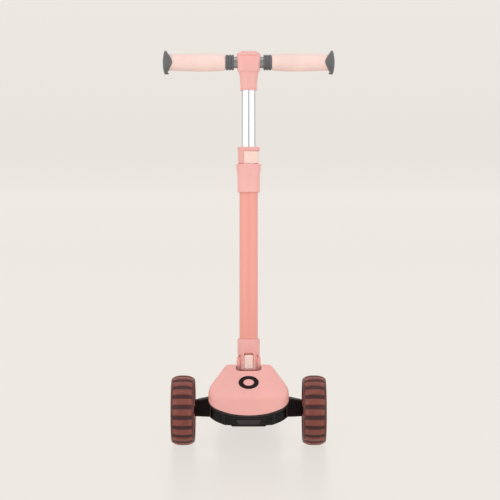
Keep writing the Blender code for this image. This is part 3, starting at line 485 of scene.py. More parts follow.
def tyre_mesh(radius, half_width, rim, blocks, groove_depth, block_half):
    """A crowned tyre with cross grooves that fade out at its smooth shoulders. Each vertex also gets a brightness
    for the tyre material that is painted light: painted shade in the grooves and on the sidewalls, painted
    highlight on the raised blocks.
    """
    crown = (radius - rim) * 0.62
    section = []
    across = 30
    for i in range(across + 1):
        x = -half_width * 0.97 + 2 * half_width * 0.97 * i / across
        fall = crown * abs(x / half_width) ** 2.9
        section.append((radius - fall, x, True))
    side = [
        (radius - crown - 1.2 * MM, half_width, False),
        (radius - crown - 3.0 * MM, half_width, False),
        (rim + 0.8 * MM, half_width - 1.0 * MM, False),
        (rim, half_width - 1.6 * MM, False),
    ]
    section = [(r, -x, t) for r, x, t in reversed(side)] + section + side
    steps = blocks * 16
    groove_share = 0.42
    bm = bmesh.new()
    # This float attribute holds painted light and shade for the tyre material, not a colour of the urethane.
    painted_shade_layer = bm.verts.layers.float.new("painted_tread_shade")
    rings = []
    for i in range(steps):
        phase = (i % 16) / 16
        angle = 2 * pi * i / steps
        centre_gap = min(phase, 1 - phase)
        groove = 1 / (1 + exp((centre_gap - groove_share / 2) * 60))
        ring = []
        for r, x, on_tread in section:
            end = 1 / (1 + exp((abs(x) - block_half) / (0.5 * MM)))
            depth = groove_depth * groove * end if on_tread else 0
            # Painted highlight: the blocks get lighter towards their ends.
            band = 0.80 + 0.45 * (abs(x) / block_half) ** 5
            raised = end * (1 - groove) * band if on_tread else 0
            vertex = bm.verts.new(((r - depth) * cos(angle), (r - depth) * sin(angle), x))
            # Painted light: 0.30 on the sidewalls, 0.25 past the block ends and near 0 in the grooves are painted
            # shade; the raised blocks carry the painted highlight.
            vertex[painted_shade_layer] = 0.30 * (not on_tread) + 0.25 * (on_tread and 1 - end) + raised
            ring.append(vertex)
        rings.append(ring)
    count = len(section)
    for i, ring in enumerate(rings):
        following = rings[(i + 1) % steps]
        for k in range(count):
            n = (k + 1) % count
            bm.faces.new((ring[k], ring[n], following[n], following[k]))
    return bm


def hub_mesh(rim, half_width, dish):
    """Turned form of a hub: rim, dished web and boss with its bearing pocket."""
    boss, boss_half, web_half = dish
    half = [
        (7.2 * MM, boss_half - 7.2 * MM),
        (11.2 * MM, boss_half - 7.2 * MM),
        (11.2 * MM, boss_half - 0.4 * MM),
        (11.6 * MM, boss_half),
        (boss - 0.8 * MM, boss_half),
        (boss, boss_half - 0.8 * MM),
        (boss + 1.0 * MM, web_half + 1.5 * MM),
        (boss + 3.0 * MM, web_half),
        (rim - 9 * MM, web_half + 0.8 * MM),
        (rim - 5.5 * MM, web_half + 2.5 * MM),
        (rim - 4.2 * MM, half_width - 1.0 * MM),
        (rim - 3.4 * MM, half_width),
        (rim - 0.6 * MM, half_width),
        (rim, half_width - 0.6 * MM),
    ]
    return lathe(half + [(r, -x) for r, x in reversed(half)])


def window_cuts(inner, outer, spread_angle, corner, depth, spokes=5):
    arc = circle_points(outer, 6, -spread_angle, spread_angle)
    outline = rounded([(inner, 0), arc[0], arc[2], arc[4], arc[6]], [corner, corner, 0, 0, corner], 4)
    cuts = []
    for spoke in range(spokes):
        cuts.append(turn(prism(outline, -depth, depth),
                         Matrix.Rotation(2 * pi * (spoke + 0.5) / spokes, 4, "Z")))
    return cuts


def bearing_mesh(low, high):
    """A shielded ball bearing: two races and a sunken shield."""
    middle = (low + high) / 2
    half = (high - low) / 2
    side = [
        (4.35 * MM, half - 0.3 * MM),
        (4.65 * MM, half),
        (6.2 * MM, half),
        (6.4 * MM, half - 0.5 * MM),
        (8.9 * MM, half - 0.5 * MM),
        (9.1 * MM, half),
        (10.6 * MM, half),
        (10.9 * MM, half - 0.3 * MM),
    ]
    outline = [(r, middle + x) for r, x in side] + [(r, middle - x) for r, x in reversed(side)]
    return lathe(outline, 48)


def make_wheel(prefix, body, joint, blocks):
    centre = Vector(JOINTS[joint]["pos_m"])
    place = Matrix.Translation(centre) @ along_x()
    low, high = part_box(prefix + "_tyre")
    radius = (high.z - low.z) / 2 - 0.15 * MM
    half_width = (high.x - low.x) / 2
    low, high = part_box(prefix + "_hub")
    rim = (high.z - low.z) / 2
    hub_half = (high.x - low.x) / 2
    front = prefix != "rear"
    groove = 2.3 * MM if front else 1.4 * MM
    tyre = tyre_mesh(radius, half_width, rim + 0.3 * MM, blocks, groove, half_width * 0.78)
    piece(prefix + "_tyre_body", tyre, body, "tyre", [prefix + "_tyre"], place,
          sharp=55)
    dish = mm(14.5, 14, 4.5) if front else mm(14.3, 12.8, 3.6)
    if front:
        windows = window_cuts(19 * MM, 40 * MM, radians(25), 3 * MM, 12 * MM)
    else:
        windows = [
            turn(turn(rod(3.6 * MM, -9 * MM, 9 * MM), Matrix.Translation(mm(20.3, 0, 0))),
                 Matrix.Rotation(2 * pi * k / 5, 4, "Z"))
            for k in range(5)
        ]
    piece(prefix + "_wheel_hub", hub_mesh(rim, hub_half, dish), body,
          "wheel_hub", [prefix + "_hub"], place, cuts=windows, bevel=0.5 * MM)
    for side, name in SIDES:
        node = f"{prefix}_bearing_{name}"
        low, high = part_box(node)
        ring = bearing_mesh(low.x - centre.x, high.x - centre.x)
        piece(node + "_race", ring, body, "steel", [node], place)


# ---------------------------------------------------------------- cross beam

def make_cross_beam():
    """The beam between the front wheels: swept arms with ribbed undersides and round bosses."""
    place = Matrix.Translation((0, AXLE_Y, 0))
    stations = [
        (0, 50, 84, 13), (20, 50, 84, 13), (45, 50, 84, 13), (58, 50, 83.6, 13),
        (69, 50.2, 82.6, 12.8), (78, 50.4, 80.8, 12.4), (86, 50.8, 79.0, 12.2), (90.9, 51, 77.6, 12),
    ]
    stations = [(-x, a, b, d) for x, a, b, d in reversed(stations[1:])] + stations
    sections = []
    for x, low, high, depth in stations:
        ring = rounded([(-depth, low), (depth, low), (depth, high), (-depth, high)], 5.5, 4)
        sections.append([(x * MM, y * MM, z * MM) for y, z in ring])
    pivot = Matrix.Translation(STEER_POINT - Vector((0, AXLE_Y, 0))) @ onto(STEER_AXIS)
    slab = 60 * MM
    cuts = [
        turn(block((-22 * MM, -slab, -45 * MM), (22 * MM, slab, -12 * MM)), pivot),
        turn(block((-22 * MM, -slab, 14 * MM), (22 * MM, slab, 45 * MM)), pivot),
    ]
    boss = turn(rod(15 * MM, -11.9 * MM, 13.9 * MM, 64), pivot)
    bores = [turn(rod(8.2 * MM, -40 * MM, 40 * MM), pivot)]
    axle = Matrix.Translation(mm(0, 0, 60))
    for side in (-1, 1):
        for x in (50, 64, 78):
            low, high = sorted((side * (x - 5) * MM, side * (x + 5) * MM))
            bores.append(block((low, -8 * MM, 40 * MM), (high, 8 * MM, 53.5 * MM)))
        bores.append(turn(rod(4.3 * MM, 59.5 * MM, 108 * MM), axle @ along_x(side)))
    noses = [turn(rod(7 * MM, 84 * MM, 97.6 * MM, 48), axle @ along_x(side)) for side in (-1, 1)]
    obj = temporary(loft(sections))
    boolean(obj, cuts)
    boolean(obj, [boss] + noses, "UNION")
    boolean(obj, bores)
    piece("cross_beam", taken(obj), "truck", "black_arm", ["axle_carrier"], place,
          bevel=0.5 * MM, bevel_segments=2)
    make_axle_bolts(place @ axle)


def make_axle_bolts(place):
    """The bolts that hold the front wheels, with a hexagon socket in each head."""
    low, high = (corner.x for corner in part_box("front_axle_left"))
    seat = high - 4 * MM
    bolt = [
        (0, low + 0.2 * MM), (4 * MM, low + 0.2 * MM), (4 * MM, seat), (7.4 * MM, seat),
        (8 * MM, seat + 0.5 * MM), (8 * MM, seat + 2.4 * MM), (7.2 * MM, seat + 3.6 * MM),
        (5.4 * MM, high), (0, high),
    ]
    for side, name in SIDES:
        socket = prism(circle_points(3.2 * MM, 6), seat + 1 * MM, high + 10 * MM)
        piece("front_axle_bolt_" + name, lathe(bolt, 64), "truck", "steel",
              ["front_axle_" + name], place @ along_x(side), cuts=[socket],
              bevel=0.15 * MM, bevel_segments=2)


# ---------------------------------------------------------------- front cover and bumper

COVER_FRONT_Y = -47.5 * MM
COVER_SLOPE = radians(27)
COVER_CREASE = 93 * MM
COVER_RIDGE_Y = 32 * MM
COVER_LIFT = 1.7 * MM


def cover_plan(grow):
    """Plan of the cover, moved outward by grow; y is measured from the front axle."""
    corner = circle_points(20 * MM + grow, 12, radians(-78), radians(-4), mm(48.6, -26))
    front = [
        (0.01 * MM, COVER_FRONT_Y - 0.4 * MM - grow),
        (14 * MM, COVER_FRONT_Y - 0.2 * MM - grow),
        (28 * MM, COVER_FRONT_Y + 0.3 * MM - grow),
        (38 * MM, COVER_FRONT_Y + 0.9 * MM - grow),
    ]
    side = [
        (66.6 * MM + grow, -20 * MM),
        (61 * MM + grow, -8 * MM),
        (54 * MM + grow, 5 * MM),
        (48 * MM + grow, 17 * MM),
        (42.5 * MM + grow, 28 * MM),
        (38 * MM + grow, 38 * MM),
        (35 * MM + grow, 60 * MM),
        (38 * MM + grow, 95 * MM + grow),
    ]
    half = front + corner + side
    return half + [(-x, y) for x, y in reversed(half)]


def cover_form(grow):
    """A hood form: the plan trimmed by two slopes, then relaxed until its edges are round."""
    bm = prism(cover_plan(grow), 10 * MM, 220 * MM)
    ridge_height = COVER_CREASE + (COVER_RIDGE_Y - COVER_FRONT_Y) * tan(COVER_SLOPE)
    back = atan2(ridge_height - 68 * MM, 63 * MM)
    ridge = (0, COVER_RIDGE_Y, ridge_height + COVER_LIFT + (grow - 1 * MM) * 1.1)
    for normal in ((0, -sin(COVER_SLOPE), cos(COVER_SLOPE)), (0, sin(back), cos(back))):
        bmesh.ops.bisect_plane(bm, geom=bm.verts[:] + bm.edges[:] + bm.faces[:],
                               plane_co=ridge, plane_no=normal, clear_outer=True)
        bmesh.ops.holes_fill(bm, edges=[e for e in bm.edges if e.is_boundary], sides=0)
    obj = temporary(bm)
    remesh = obj.modifiers.new("remesh", "REMESH")
    remesh.mode = "VOXEL"
    remesh.voxel_size = 2.4 * MM
    relax = obj.modifiers.new("relax", "SMOOTH")
    relax.factor = 0.5
    relax.iterations = 45
    settle(obj)
    return taken(obj)


def edge_height(x, table):
    """Height of an edge curve at x, by smooth steps between its knots."""
    x = abs(x)
    for (x0, z0), (x1, z1) in zip(table, table[1:]):
        if x <= x1:
            share = max(0.0, (x - x0) / (x1 - x0))
            return (z0 + (z1 - z0) * share) * MM
    return table[-1][1] * MM


COVER_EDGE = ((0, 62.2), (12, 62.7), (24, 64.0), (32, 65.4), (40, 67.6), (48, 70.2), (55, 73.0),
              (60, 75.4), (64, 78.2), (67, 81.0), (69, 84.5), (90, 92))
BUMPER_EDGE = ((0, 42.6), (28.5, 42.6), (29.5, 44.6), (40, 45.0), (43, 46.0), (54, 50.2),
               (62, 54.2), (69, 58.0), (90, 70))


def below_edge(table, shift, floor):
    """Front-view outline of everything below an edge curve; above it when floor is high."""
    points = []
    steps = 90
    for i in range(steps + 1):
        x = -90 + 180 * i / steps
        points.append((x * MM, edge_height(x, table) + shift))
    return [(-90 * MM, floor)] + points + [(90 * MM, floor)]


def make_front_cover():
    far = 160 * MM
    arch = rounded([
        mm(-31, 0), mm(-31, 93), mm(31, 93), mm(35, 62.5),
        mm(110, 62.5), mm(110, 0),
    ], 8 * MM, 6)
    notch = rounded([mm(-22, 13.8), mm(22, 13.8), (22 * MM, far),
                     (-22 * MM, far)], 6 * MM, 6)
    cuts = [
        cover_form(-1.4 * MM),
        prism(below_edge(COVER_EDGE, 0, 0), -80 * MM, -30 * MM, "Y"),
        prism(arch, -90 * MM, 90 * MM, "X"),
        prism(notch, 40 * MM, 170 * MM),
    ]
    piece("front_hood", cover_form(1.0 * MM), "deck", "pink_shell",
          ["front_cover"], CHASSIS, cuts=cuts, bevel=0.5 * MM, bevel_segments=2, sharp=30)


def make_badge():
    """A plain disc with a raised dark rim and a pink face, without any mark."""
    low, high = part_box("cover_badge")
    y = (low.y + high.y) / 2 - AXLE_Y
    z = COVER_CREASE + COVER_LIFT + (y - COVER_FRONT_Y) * tan(COVER_SLOPE)
    place = CHASSIS @ Matrix.Translation((0, y, z)) @ Matrix.Rotation(COVER_SLOPE, 4, "X")
    rim = lathe(smooth_profile([
        mm(9.2, -1.8), mm(17.2, -1.8), mm(17.2, 0.6),
        mm(16.6, 1.1), mm(9.8, 1.1), mm(9.2, 0.6),
    ], 0.4 * MM))
    piece("badge_ring", rim, "deck", "badge", ["cover_badge"], place)
    face = lathe([
        mm(0, -1.8), mm(8.9, -1.8), mm(8.9, 0.2), mm(8.4, 0.6),
        mm(5, 0.9), mm(0, 1.0),
    ])
    piece("badge_face", face, "deck", "pink_shell", (), place)


def front_wall(outward, thickness, back):
    """A wall that follows the cover's front in plan, between two offsets."""
    outer = [(x, y) for x, y in cover_plan(outward) if y < back and x > 0]
    inner = [(x, y) for x, y in cover_plan(outward - thickness) if y < back and x > 0]
    outer.append((outer[-1][0], back))
    inner.append((inner[-1][0], back))
    half = outer + inner[::-1]
    return half + [(-x, y) for x, y in inner] + [(-x, y) for x, y in outer[::-1]]


def bumper_pocket(start, end, below_cover, above_foot):
    """Front-view outline between two x of a sunk field that follows both edges."""
    steps = 6
    xs = [(start + (end - start) * i / steps) for i in range(steps + 1)]
    top = [(x * MM, edge_height(x, COVER_EDGE) - below_cover) for x in xs]
    foot = [(x * MM, edge_height(x, BUMPER_EDGE) + above_foot) for x in xs]
    return top + foot[::-1]


def grown(outline, amount):
    """An outline stretched about its middle so that each side moves outward by amount."""
    moved = []
    for axis in (0, 1):
        values = [point[axis] for point in outline]
        low, high = min(values), max(values)
        middle = (low + high) / 2
        factor = 1 + 2 * amount / (high - low)
        moved.append([middle + (value - middle) * factor for value in values])
    return list(zip(*moved))


def merged(shapes):
    """One bmesh holding several separate closed shapes."""
    whole = bmesh.new()
    for shape in shapes:
        part = bpy.data.meshes.new("part")
        shape.to_mesh(part)
        shape.free()
        whole.from_mesh(part)
        bpy.data.meshes.remove(part)
    return whole


BUMPER_BACK = -32.5 * MM


def bumper_fields():
    """Front-view outlines of the bumper's sunk fields: one in the middle, two on each side."""
    fields = [[mm(-24.5, 56.4), mm(24.5, 56.4), mm(18.4, 44.4), mm(-18.4, 44.4)]]
    for side in (-1, 1):
        fields.append([mm(side * 28.2, 57.6), mm(side * 40.6, 60.4), mm(side * 40.6, 47.4),
                       mm(side * 24.8, 47.8)])
        fields.append(bumper_pocket(side * 44.2, side * 64, 5 * MM, 2.4 * MM))
    return fields


def front_prism(outline, back=0.0):
    """An outline seen from the front, run back through the whole nose."""
    return prism(outline, -90 * MM, back, "Y")


def wall_solid(outward, thickness, back=BUMPER_BACK):
    """The cover's front in plan as a tall wall."""
    return prism(front_wall(outward, thickness, back), 20 * MM, 130 * MM)


def make_bumper():
    """The black bumper: its wall with sunk fields, their frames, plate, tongue and lip. Frames, plate and lip use
    lighter blacks that are painted highlights and painted sheen.
    """
    above = below_edge(COVER_EDGE, -0.5 * MM, 140 * MM)
    below = below_edge(BUMPER_EDGE, 0, 0)
    fields = bumper_fields()
    sunk = temporary(wall_solid(3 * MM, 5.2 * MM, BUMPER_BACK + 5 * MM))
    pockets = [prism(rounded(field, 0.8 * MM, 2), -80 * MM, 0, "Y") for field in fields]
    boolean(sunk, [merged(pockets)], "INTERSECT")
    piece("bumper_wall", wall_solid(-0.2 * MM, 3.4 * MM), "deck", "black_shell",
          ["front_bumper"], CHASSIS, cuts=[front_prism(above), front_prism(below), taken(sunk)],
          bevel=0.35 * MM, bevel_segments=2)
    frames = temporary(wall_solid(0.35 * MM, 1.6 * MM))
    rims = [prism(grown(field, 0.9 * MM), -80 * MM, 0, "Y") for field in fields]
    boolean(frames, [merged(rims)], "INTERSECT")
    boolean(frames, [front_prism(field, 10 * MM) for field in fields])
    # The frames take a lighter black: painted highlight along the pocket edges.
    piece("bumper_frames", taken(frames), "deck", "black_painted_sheen", (), CHASSIS,
          bevel=0.25 * MM, bevel_segments=2)
    tongue = block(mm(-12, -44.6, 44.9), mm(12, -8.8, 48))
    piece("bumper_tongue", tongue, "deck", "black_shell", (), CHASSIS,
          bevel=0.6 * MM)
    plate = rounded([mm(-22.6, 54.6), mm(22.6, 54.6), mm(17.2, 45.4), mm(-17.2, 45.4)], 1.5 * MM)
    plate = prism(plate, COVER_FRONT_Y + 0.2 * MM, COVER_FRONT_Y + 2.6 * MM, "Y")
    # The plate takes the same lighter black: painted sheen.
    piece("bumper_plate", plate, "deck", "black_painted_sheen", (), CHASSIS,
          bevel=0.5 * MM)
    under_lip = below_edge(COVER_EDGE, -3.6 * MM, 0)
    # The lip takes a lighter black: a painted highlight band under the cover's edge.
    piece("bumper_lip", wall_solid(0.9 * MM, 1.4 * MM), "deck", "black_lip_painted_highlight", (),
          CHASSIS, cuts=[front_prism(above), front_prism(under_lip)], bevel=0.4 * MM,
          bevel_segments=2)


# ---------------------------------------------------------------- stem bracket and deck

def make_bracket():
    hinge = FOLD_HINGE - Vector((0, AXLE_Y, 0))
    y, z = hinge.y, hinge.z
    floor = 62.3 * MM
    outline = [
        (25.5 * MM, floor), (70 * MM, floor), mm(70, 74), (y + 16 * MM, 98 * MM),
    ] + circle_points(16 * MM, 32, 0, pi, (y, z)) + [
        (y - 16 * MM, 112 * MM), mm(20.5, 111), mm(20.5, 99), mm(25.5, 92),
    ]
    pivot = Matrix.Translation(STEER_POINT - Vector((0, AXLE_Y, 0))) @ onto(STEER_AXIS)
    nose = turn(block(mm(-17, -15, 14.5), mm(17, 30, 26)), pivot)
    slot = block(mm(-14.2, 20, 114.5), mm(14.2, 80, 170))
    hinge_bore = turn(rod(4.2 * MM, -30 * MM, 30 * MM), Matrix.Translation(hinge) @ along_x())
    kingpin_bore = turn(rod(5.2 * MM, 0, 50 * MM), pivot)
    recesses = []
    corners = []
    for side in (-1, 1):
        low, high = sorted((side * 19.2 * MM, side * 30 * MM))
        recesses.append(turn(rod(9.5 * MM, low, high, 48), Matrix.Translation(hinge) @ along_x()))
        corner = [mm(side * x, z) for x, z in ((15.4, 152), (15.4, 146.2), (18.6, 144.4),
                                               (20.6, 140), (21.2, 134), (26, 134), (26, 152))]
        corners.append(prism(corner, 20 * MM, 80 * MM, "Y"))
    # Corners come first: cut after the bores, they sometimes left the bracket torn or cut away.
    cuts = corners + [slot, kingpin_bore, hinge_bore] + recesses
    piece("stem_yoke", prism(outline, -21 * MM, 21 * MM, "X"), "deck",
          "pink_bracket", ["stem_bracket"], CHASSIS, joins=[nose], cuts=cuts,
          bevel=0.9 * MM, bevel_segments=3)
    pin = lathe([
        mm(0, -20.7), mm(3.2, -20.7), mm(4, -20), mm(4, 20),
        mm(3.2, 20.7), mm(0, 20.7),
    ], 48)
    piece("hinge_pin", pin, "deck", "steel", ["fold_hinge_pin"],
          CHASSIS @ Matrix.Translation(hinge) @ along_x(),
          cuts=[prism(circle_points(2.2 * MM, 6), 18.7 * MM, 30 * MM),
                prism(circle_points(2.2 * MM, 6), -30 * MM, -18.7 * MM)])


def deck_plan(inset=0.0):
    half = [
        (17 * MM - inset, -8 * MM), (17 * MM - inset, 36 * MM + inset),
        (49 * MM - inset, 36 * MM + inset), (57 * MM - inset, 62 * MM), (57 * MM - inset, 160 * MM),
        (56 * MM - inset, 235 * MM), (50.5 * MM - inset, 300 * MM), (38 * MM - inset, 344 * MM),
        (23 * MM - inset, 365.5 * MM - inset),
    ]
    slot = [mm(14.6, 365.5), mm(14.6, 357)]
    right = rounded(half + slot, [0, 3 * MM, 8 * MM, 14 * MM, 0, 60 * MM, 40 * MM, 12 * MM, 3 * MM,
                                  0, 0], 6)
    return right + [(-x, y) for x, y in reversed(right)]


def make_deck():
    hinge = Vector(JOINTS["brake_press"]["pos_m"]) - Vector((0, AXLE_Y, 0))
    axle = Vector(JOINTS["rear_spin"]["pos_m"]) - Vector((0, AXLE_Y, 0))
    pivot = Matrix.Translation(STEER_POINT - Vector((0, AXLE_Y, 0))) @ onto(STEER_AXIS)
    arms = []
    for side in (-1, 1):
        end = circle_points(12 * MM, 24, radians(-80), radians(90), (axle.y, axle.z))
        fork = [mm(345, 44)] + end + [mm(345, 57)]
        low, high = sorted((side * 15 * MM, side * 22.6 * MM))
        arms.append(prism(fork, low, high, "X"))
        lug = circle_points(5 * MM, 20, 0, pi, (hinge.y, hinge.z))
        lug = [mm(357, 56)] + lug + [mm(347, 56)]
        low, high = sorted((side * 15 * MM, side * 20 * MM))
        arms.append(prism(lug, low, high, "X"))
    cuts = [
        turn(block(mm(-19, -60, -12.5), mm(19, 60, 20)), pivot),
        turn(rod(5.3 * MM, -25 * MM, 0), pivot),
        turn(rod(4.3 * MM, -30 * MM, 30 * MM), Matrix.Translation(axle) @ along_x()),
        turn(rod(2.3 * MM, -30 * MM, 30 * MM), Matrix.Translation(hinge) @ along_x()),
    ]
    for side in (-1, 1):
        cuts.append(turn(rod(6 * MM, 30 * MM, 46.5 * MM),
                         Matrix.Translation((side * 10 * MM, 56 * MM, 0))))
        cuts.append(turn(rod(3.3 * MM, 30 * MM, 70 * MM),
                         Matrix.Translation((side * 10 * MM, 56 * MM, 0))))
        for row in range(7):
            y = (84 + row * 34) * MM
            for column in range(2):
                reach = 50 if row < 5 else 42
                low, high = sorted((side * (4 + column * 23) * MM,
                                    side * min(4 + column * 23 + 20, reach) * MM))
                cuts.append(block((low, y, 30 * MM), (high, y + 30 * MM, 47 * MM)))
        groove = [(side * 60 * MM, 50 * MM), (side * 55.6 * MM, 51 * MM),
                  (side * 55.6 * MM, 53 * MM), (side * 60 * MM, 54 * MM)]
        cuts.append(prism(groove, 70 * MM, 230 * MM, "Y"))
    piece("deck_board", prism(deck_plan(), 42 * MM, 62 * MM), "deck",
          "deck_plastic", ["deck"], CHASSIS, joins=arms, cuts=cuts, bevel=1.6 * MM,
          bevel_segments=3)


def make_deck_mat():
    half = [mm(50, 104), mm(50, 240), mm(44, 298), mm(32, 336)]
    outline = rounded(half + [(-x, y) for x, y in reversed(half)], 10 * MM, 8)
    base = prism(outline, 62.3 * MM, 63.4 * MM)
    piece("mat_base", base, "deck", "grip_mat", ["deck_mat"], CHASSIS,
          bevel=0.4 * MM, bevel_segments=2)
    bm = bmesh.new()
    row = 0
    y = 114 * MM
    while y < 326 * MM:
        reach = (44 - max(0, (y / MM - 236)) * 0.19) * MM
        x = -reach + (4 * MM if row % 2 else 0)
        while x < reach - 7 * MM:
            chevron = [(x, y), (x + 4 * MM, y + 2.5 * MM), (x + 8 * MM, y),
                       (x + 8 * MM, y + 2.2 * MM), (x + 4 * MM, y + 4.7 * MM), (x, y + 2.2 * MM)]
            rows = [[bm.verts.new((a, b, level)) for a, b in chevron]
                    for level in mm(63.2, 64.2)]
            for k in range(6):
                n = (k + 1) % 6
                bm.faces.new((rows[0][k], rows[0][n], rows[1][n], rows[1][k]))
            bm.faces.new(rows[0])
            bm.faces.new(rows[1])
            x += 9.6 * MM
        y += 7.2 * MM
        row += 1
    piece("mat_tread", bm, "deck", "grip_mat", (), CHASSIS, bevel=0.25 * MM,
          bevel_segments=1)


def make_fender():
    """The brake fender: a crowned arch with two grip ribs and a turned-down tail."""
    hinge = Vector(JOINTS["brake_press"]["pos_m"])
    wheel = Vector(JOINTS["rear_spin"]["pos_m"]) - hinge
    sections = []
    steps = 40
    for i in range(steps + 1):
        angle = radians(13 + (136 - 13) * i / steps)
        ring = []
        half = 19.4 * MM
        shape = rounded([(-half, 45.6 * MM), (-half, 43.0 * MM), (-half + 2.2 * MM, 43.0 * MM),
                         (-half + 2.2 * MM, 45.6 * MM), (half - 2.2 * MM, 45.6 * MM),
                         (half - 2.2 * MM, 43.0 * MM), (half, 43.0 * MM), (half, 45.6 * MM),
                         (half - 3 * MM, 48.9 * MM), (-half + 3 * MM, 48.9 * MM)], 0.8 * MM, 3)
        for x, radius in shape:
            ring.append((x, wheel.y + radius * cos(angle), wheel.z + radius * sin(angle)))
        sections.append(ring)
    knuckle = prism([mm(-2, -4.3), mm(2.4, -4.3), mm(12, 0.8),
                     mm(16, 6.5), mm(10, 9), mm(2, 5), mm(-3, 4.5)],
                    -14.3 * MM, 14.3 * MM, "X")
    barrel = turn(rod(4.9 * MM, -14.3 * MM, 14.3 * MM, 40), along_x())
    ribs = []
    for k in range(5):
        angle = radians(62 + 9 * k)
        at = Vector((0, wheel.y + 48.7 * MM * cos(angle), wheel.z + 48.7 * MM * sin(angle)))
        ribs.append(turn(block(mm(-13, -1.0, -1), mm(13, 1.0, 0.9)),
                         Matrix.Translation(at) @ Matrix.Rotation(angle - pi / 2, 4, "X")))
    cuts = [block(mm(-6.6, -8, -12), mm(6.6, 5.4, 5.6)),
            turn(rod(2.3 * MM, -30 * MM, 30 * MM), along_x())]
    for side in (-1, 1):
        low, high = sorted((side * 14.6 * MM, side * 30 * MM))
        cuts.append(block((low, -8 * MM, -12 * MM), (high, 7.6 * MM, 14 * MM)))
    piece("brake_arch", loft(sections), "brake", "pink_shell",
          ["brake_fender"], Matrix.Translation(hinge), joins=[knuckle, barrel] + ribs, cuts=cuts,
          bevel=0.5 * MM, bevel_segments=2)


# ---------------------------------------------------------------- stem

def make_lower_sleeve():
    """The stem's foot with its knuckle, button frame and the slot above the button."""
    body = lathe([
        mm(0, 16.6), mm(18.3, 16.6), mm(19.3, 17.6), mm(19.3, 43.2),
        mm(18.9, 44.2), mm(18.0, 44.9), mm(0, 44.9),
    ])
    knuckle = circle_points(13 * MM, 32, pi, 2 * pi) + [mm(13, 18), mm(-13, 18)]
    outer = rounded([mm(-11.5, -8), mm(11.5, -8), mm(11.5, 25),
                     mm(-11.5, 25)], 3.5 * MM)
    cheeks = rounded([mm(-13.8, -8), mm(13.8, -8), mm(13.8, 20),
                      mm(-13.8, 20)], 2 * MM)
    joins = [
        prism(knuckle, -13.8 * MM, 13.8 * MM, "X"),
        prism(cheeks, -19.6 * MM, -8 * MM, "Y"),
        prism(outer, -22 * MM, -8 * MM, "Y"),
    ]
    pocket = rounded([mm(-7.9, -6.3), mm(7.9, -6.3), mm(7.9, 21.5),
                      mm(-7.9, 21.5)], 1.6 * MM)
    cuts = [
        rod(16.2 * MM, 20 * MM, 60 * MM, 64),
        prism(pocket, -30 * MM, -16.6 * MM, "Y"),
        block(mm(-7.8, -30, -6.2), mm(7.8, -9, 18.2)),
        turn(rod(4.3 * MM, -30 * MM, 30 * MM), along_x()),
    ]
    piece("stem_foot", body, "stem", "pink_shell", ["lower_sleeve"], STEM,
          joins=joins, cuts=cuts, bevel=0.7 * MM)


def make_button():
    travel = Matrix.Translation(mm(0, -15, 6))
    face = rounded([mm(-7.3, -11.8), mm(7.3, -11.8), mm(7.3, 11.8),
                    mm(-7.3, 11.8)], 1.5 * MM)
    cap = prism(face, -8.2 * MM, 0, "Y")
    grooves = [block((-8 * MM, -9 * MM, (k * 3.2 - 9.9) * MM), (8 * MM, -7.6 * MM,
                                                               (k * 3.2 - 8.9) * MM))
               for k in range(7)]
    piece("fold_button_cap", cap, "button", "cream_plastic",
          ["fold_button"], STEM @ travel, cuts=grooves, bevel=0.3 * MM, bevel_segments=2)


def make_stem_tubes():
    outer = lathe(smooth_profile([
        mm(14.2, 20.4), mm(16, 20.4), mm(16, 346.6),
        mm(14.2, 346.6),
    ], 0.3 * MM))
    piece("lower_tube", outer, "stem", "pink_tube", ["outer_tube"], STEM)
    upper = lathe(smooth_profile([
        mm(16.3, 297.7), mm(19.2, 297.7), mm(19.7, 299.5),
        mm(19.5, 302), mm(19.5, 318), mm(19.9, 330),
        mm(21.3, 340.5), mm(21.5, 342.4), mm(21.1, 343.0),
        mm(21.85, 343.8), mm(21.85, 346.4),
        mm(20.6, 347.0), mm(16.3, 347.0),
    ], 0.8 * MM, 4))
    # The flared sleeve takes the lighter pink copy, which is painted light.
    piece("flared_sleeve", upper, "stem", "pink_upper_painted_light", ["upper_sleeve"], STEM)
    bushing = lathe(smooth_profile([
        mm(13.05, 300), mm(13.9, 300), mm(13.9, 346.6),
        mm(13.05, 346.6),
    ], 0.2 * MM))
    piece("slide_bushing", bushing, "stem", "bush", ["tube_bushing"], STEM)
    low = 216 * MM
    high = BAR_HEIGHT - 14.1 * MM
    inner = lathe(smooth_profile([
        (11.2 * MM, low), (12.7 * MM, low), (12.7 * MM, high), (11.2 * MM, high),
    ], 0.3 * MM))
    piece("slider_tube", inner, "handlebar", "silver_tube", ["inner_tube"],
          STEM)


def ring_sector(inner, outer, start, end, steps=48):
    """Plan outline of a curved band; angles run from the front towards +X."""
    band = circle_points(outer, steps, start - pi / 2, end - pi / 2)
    return band + circle_points(inner, steps, end - pi / 2, start - pi / 2)


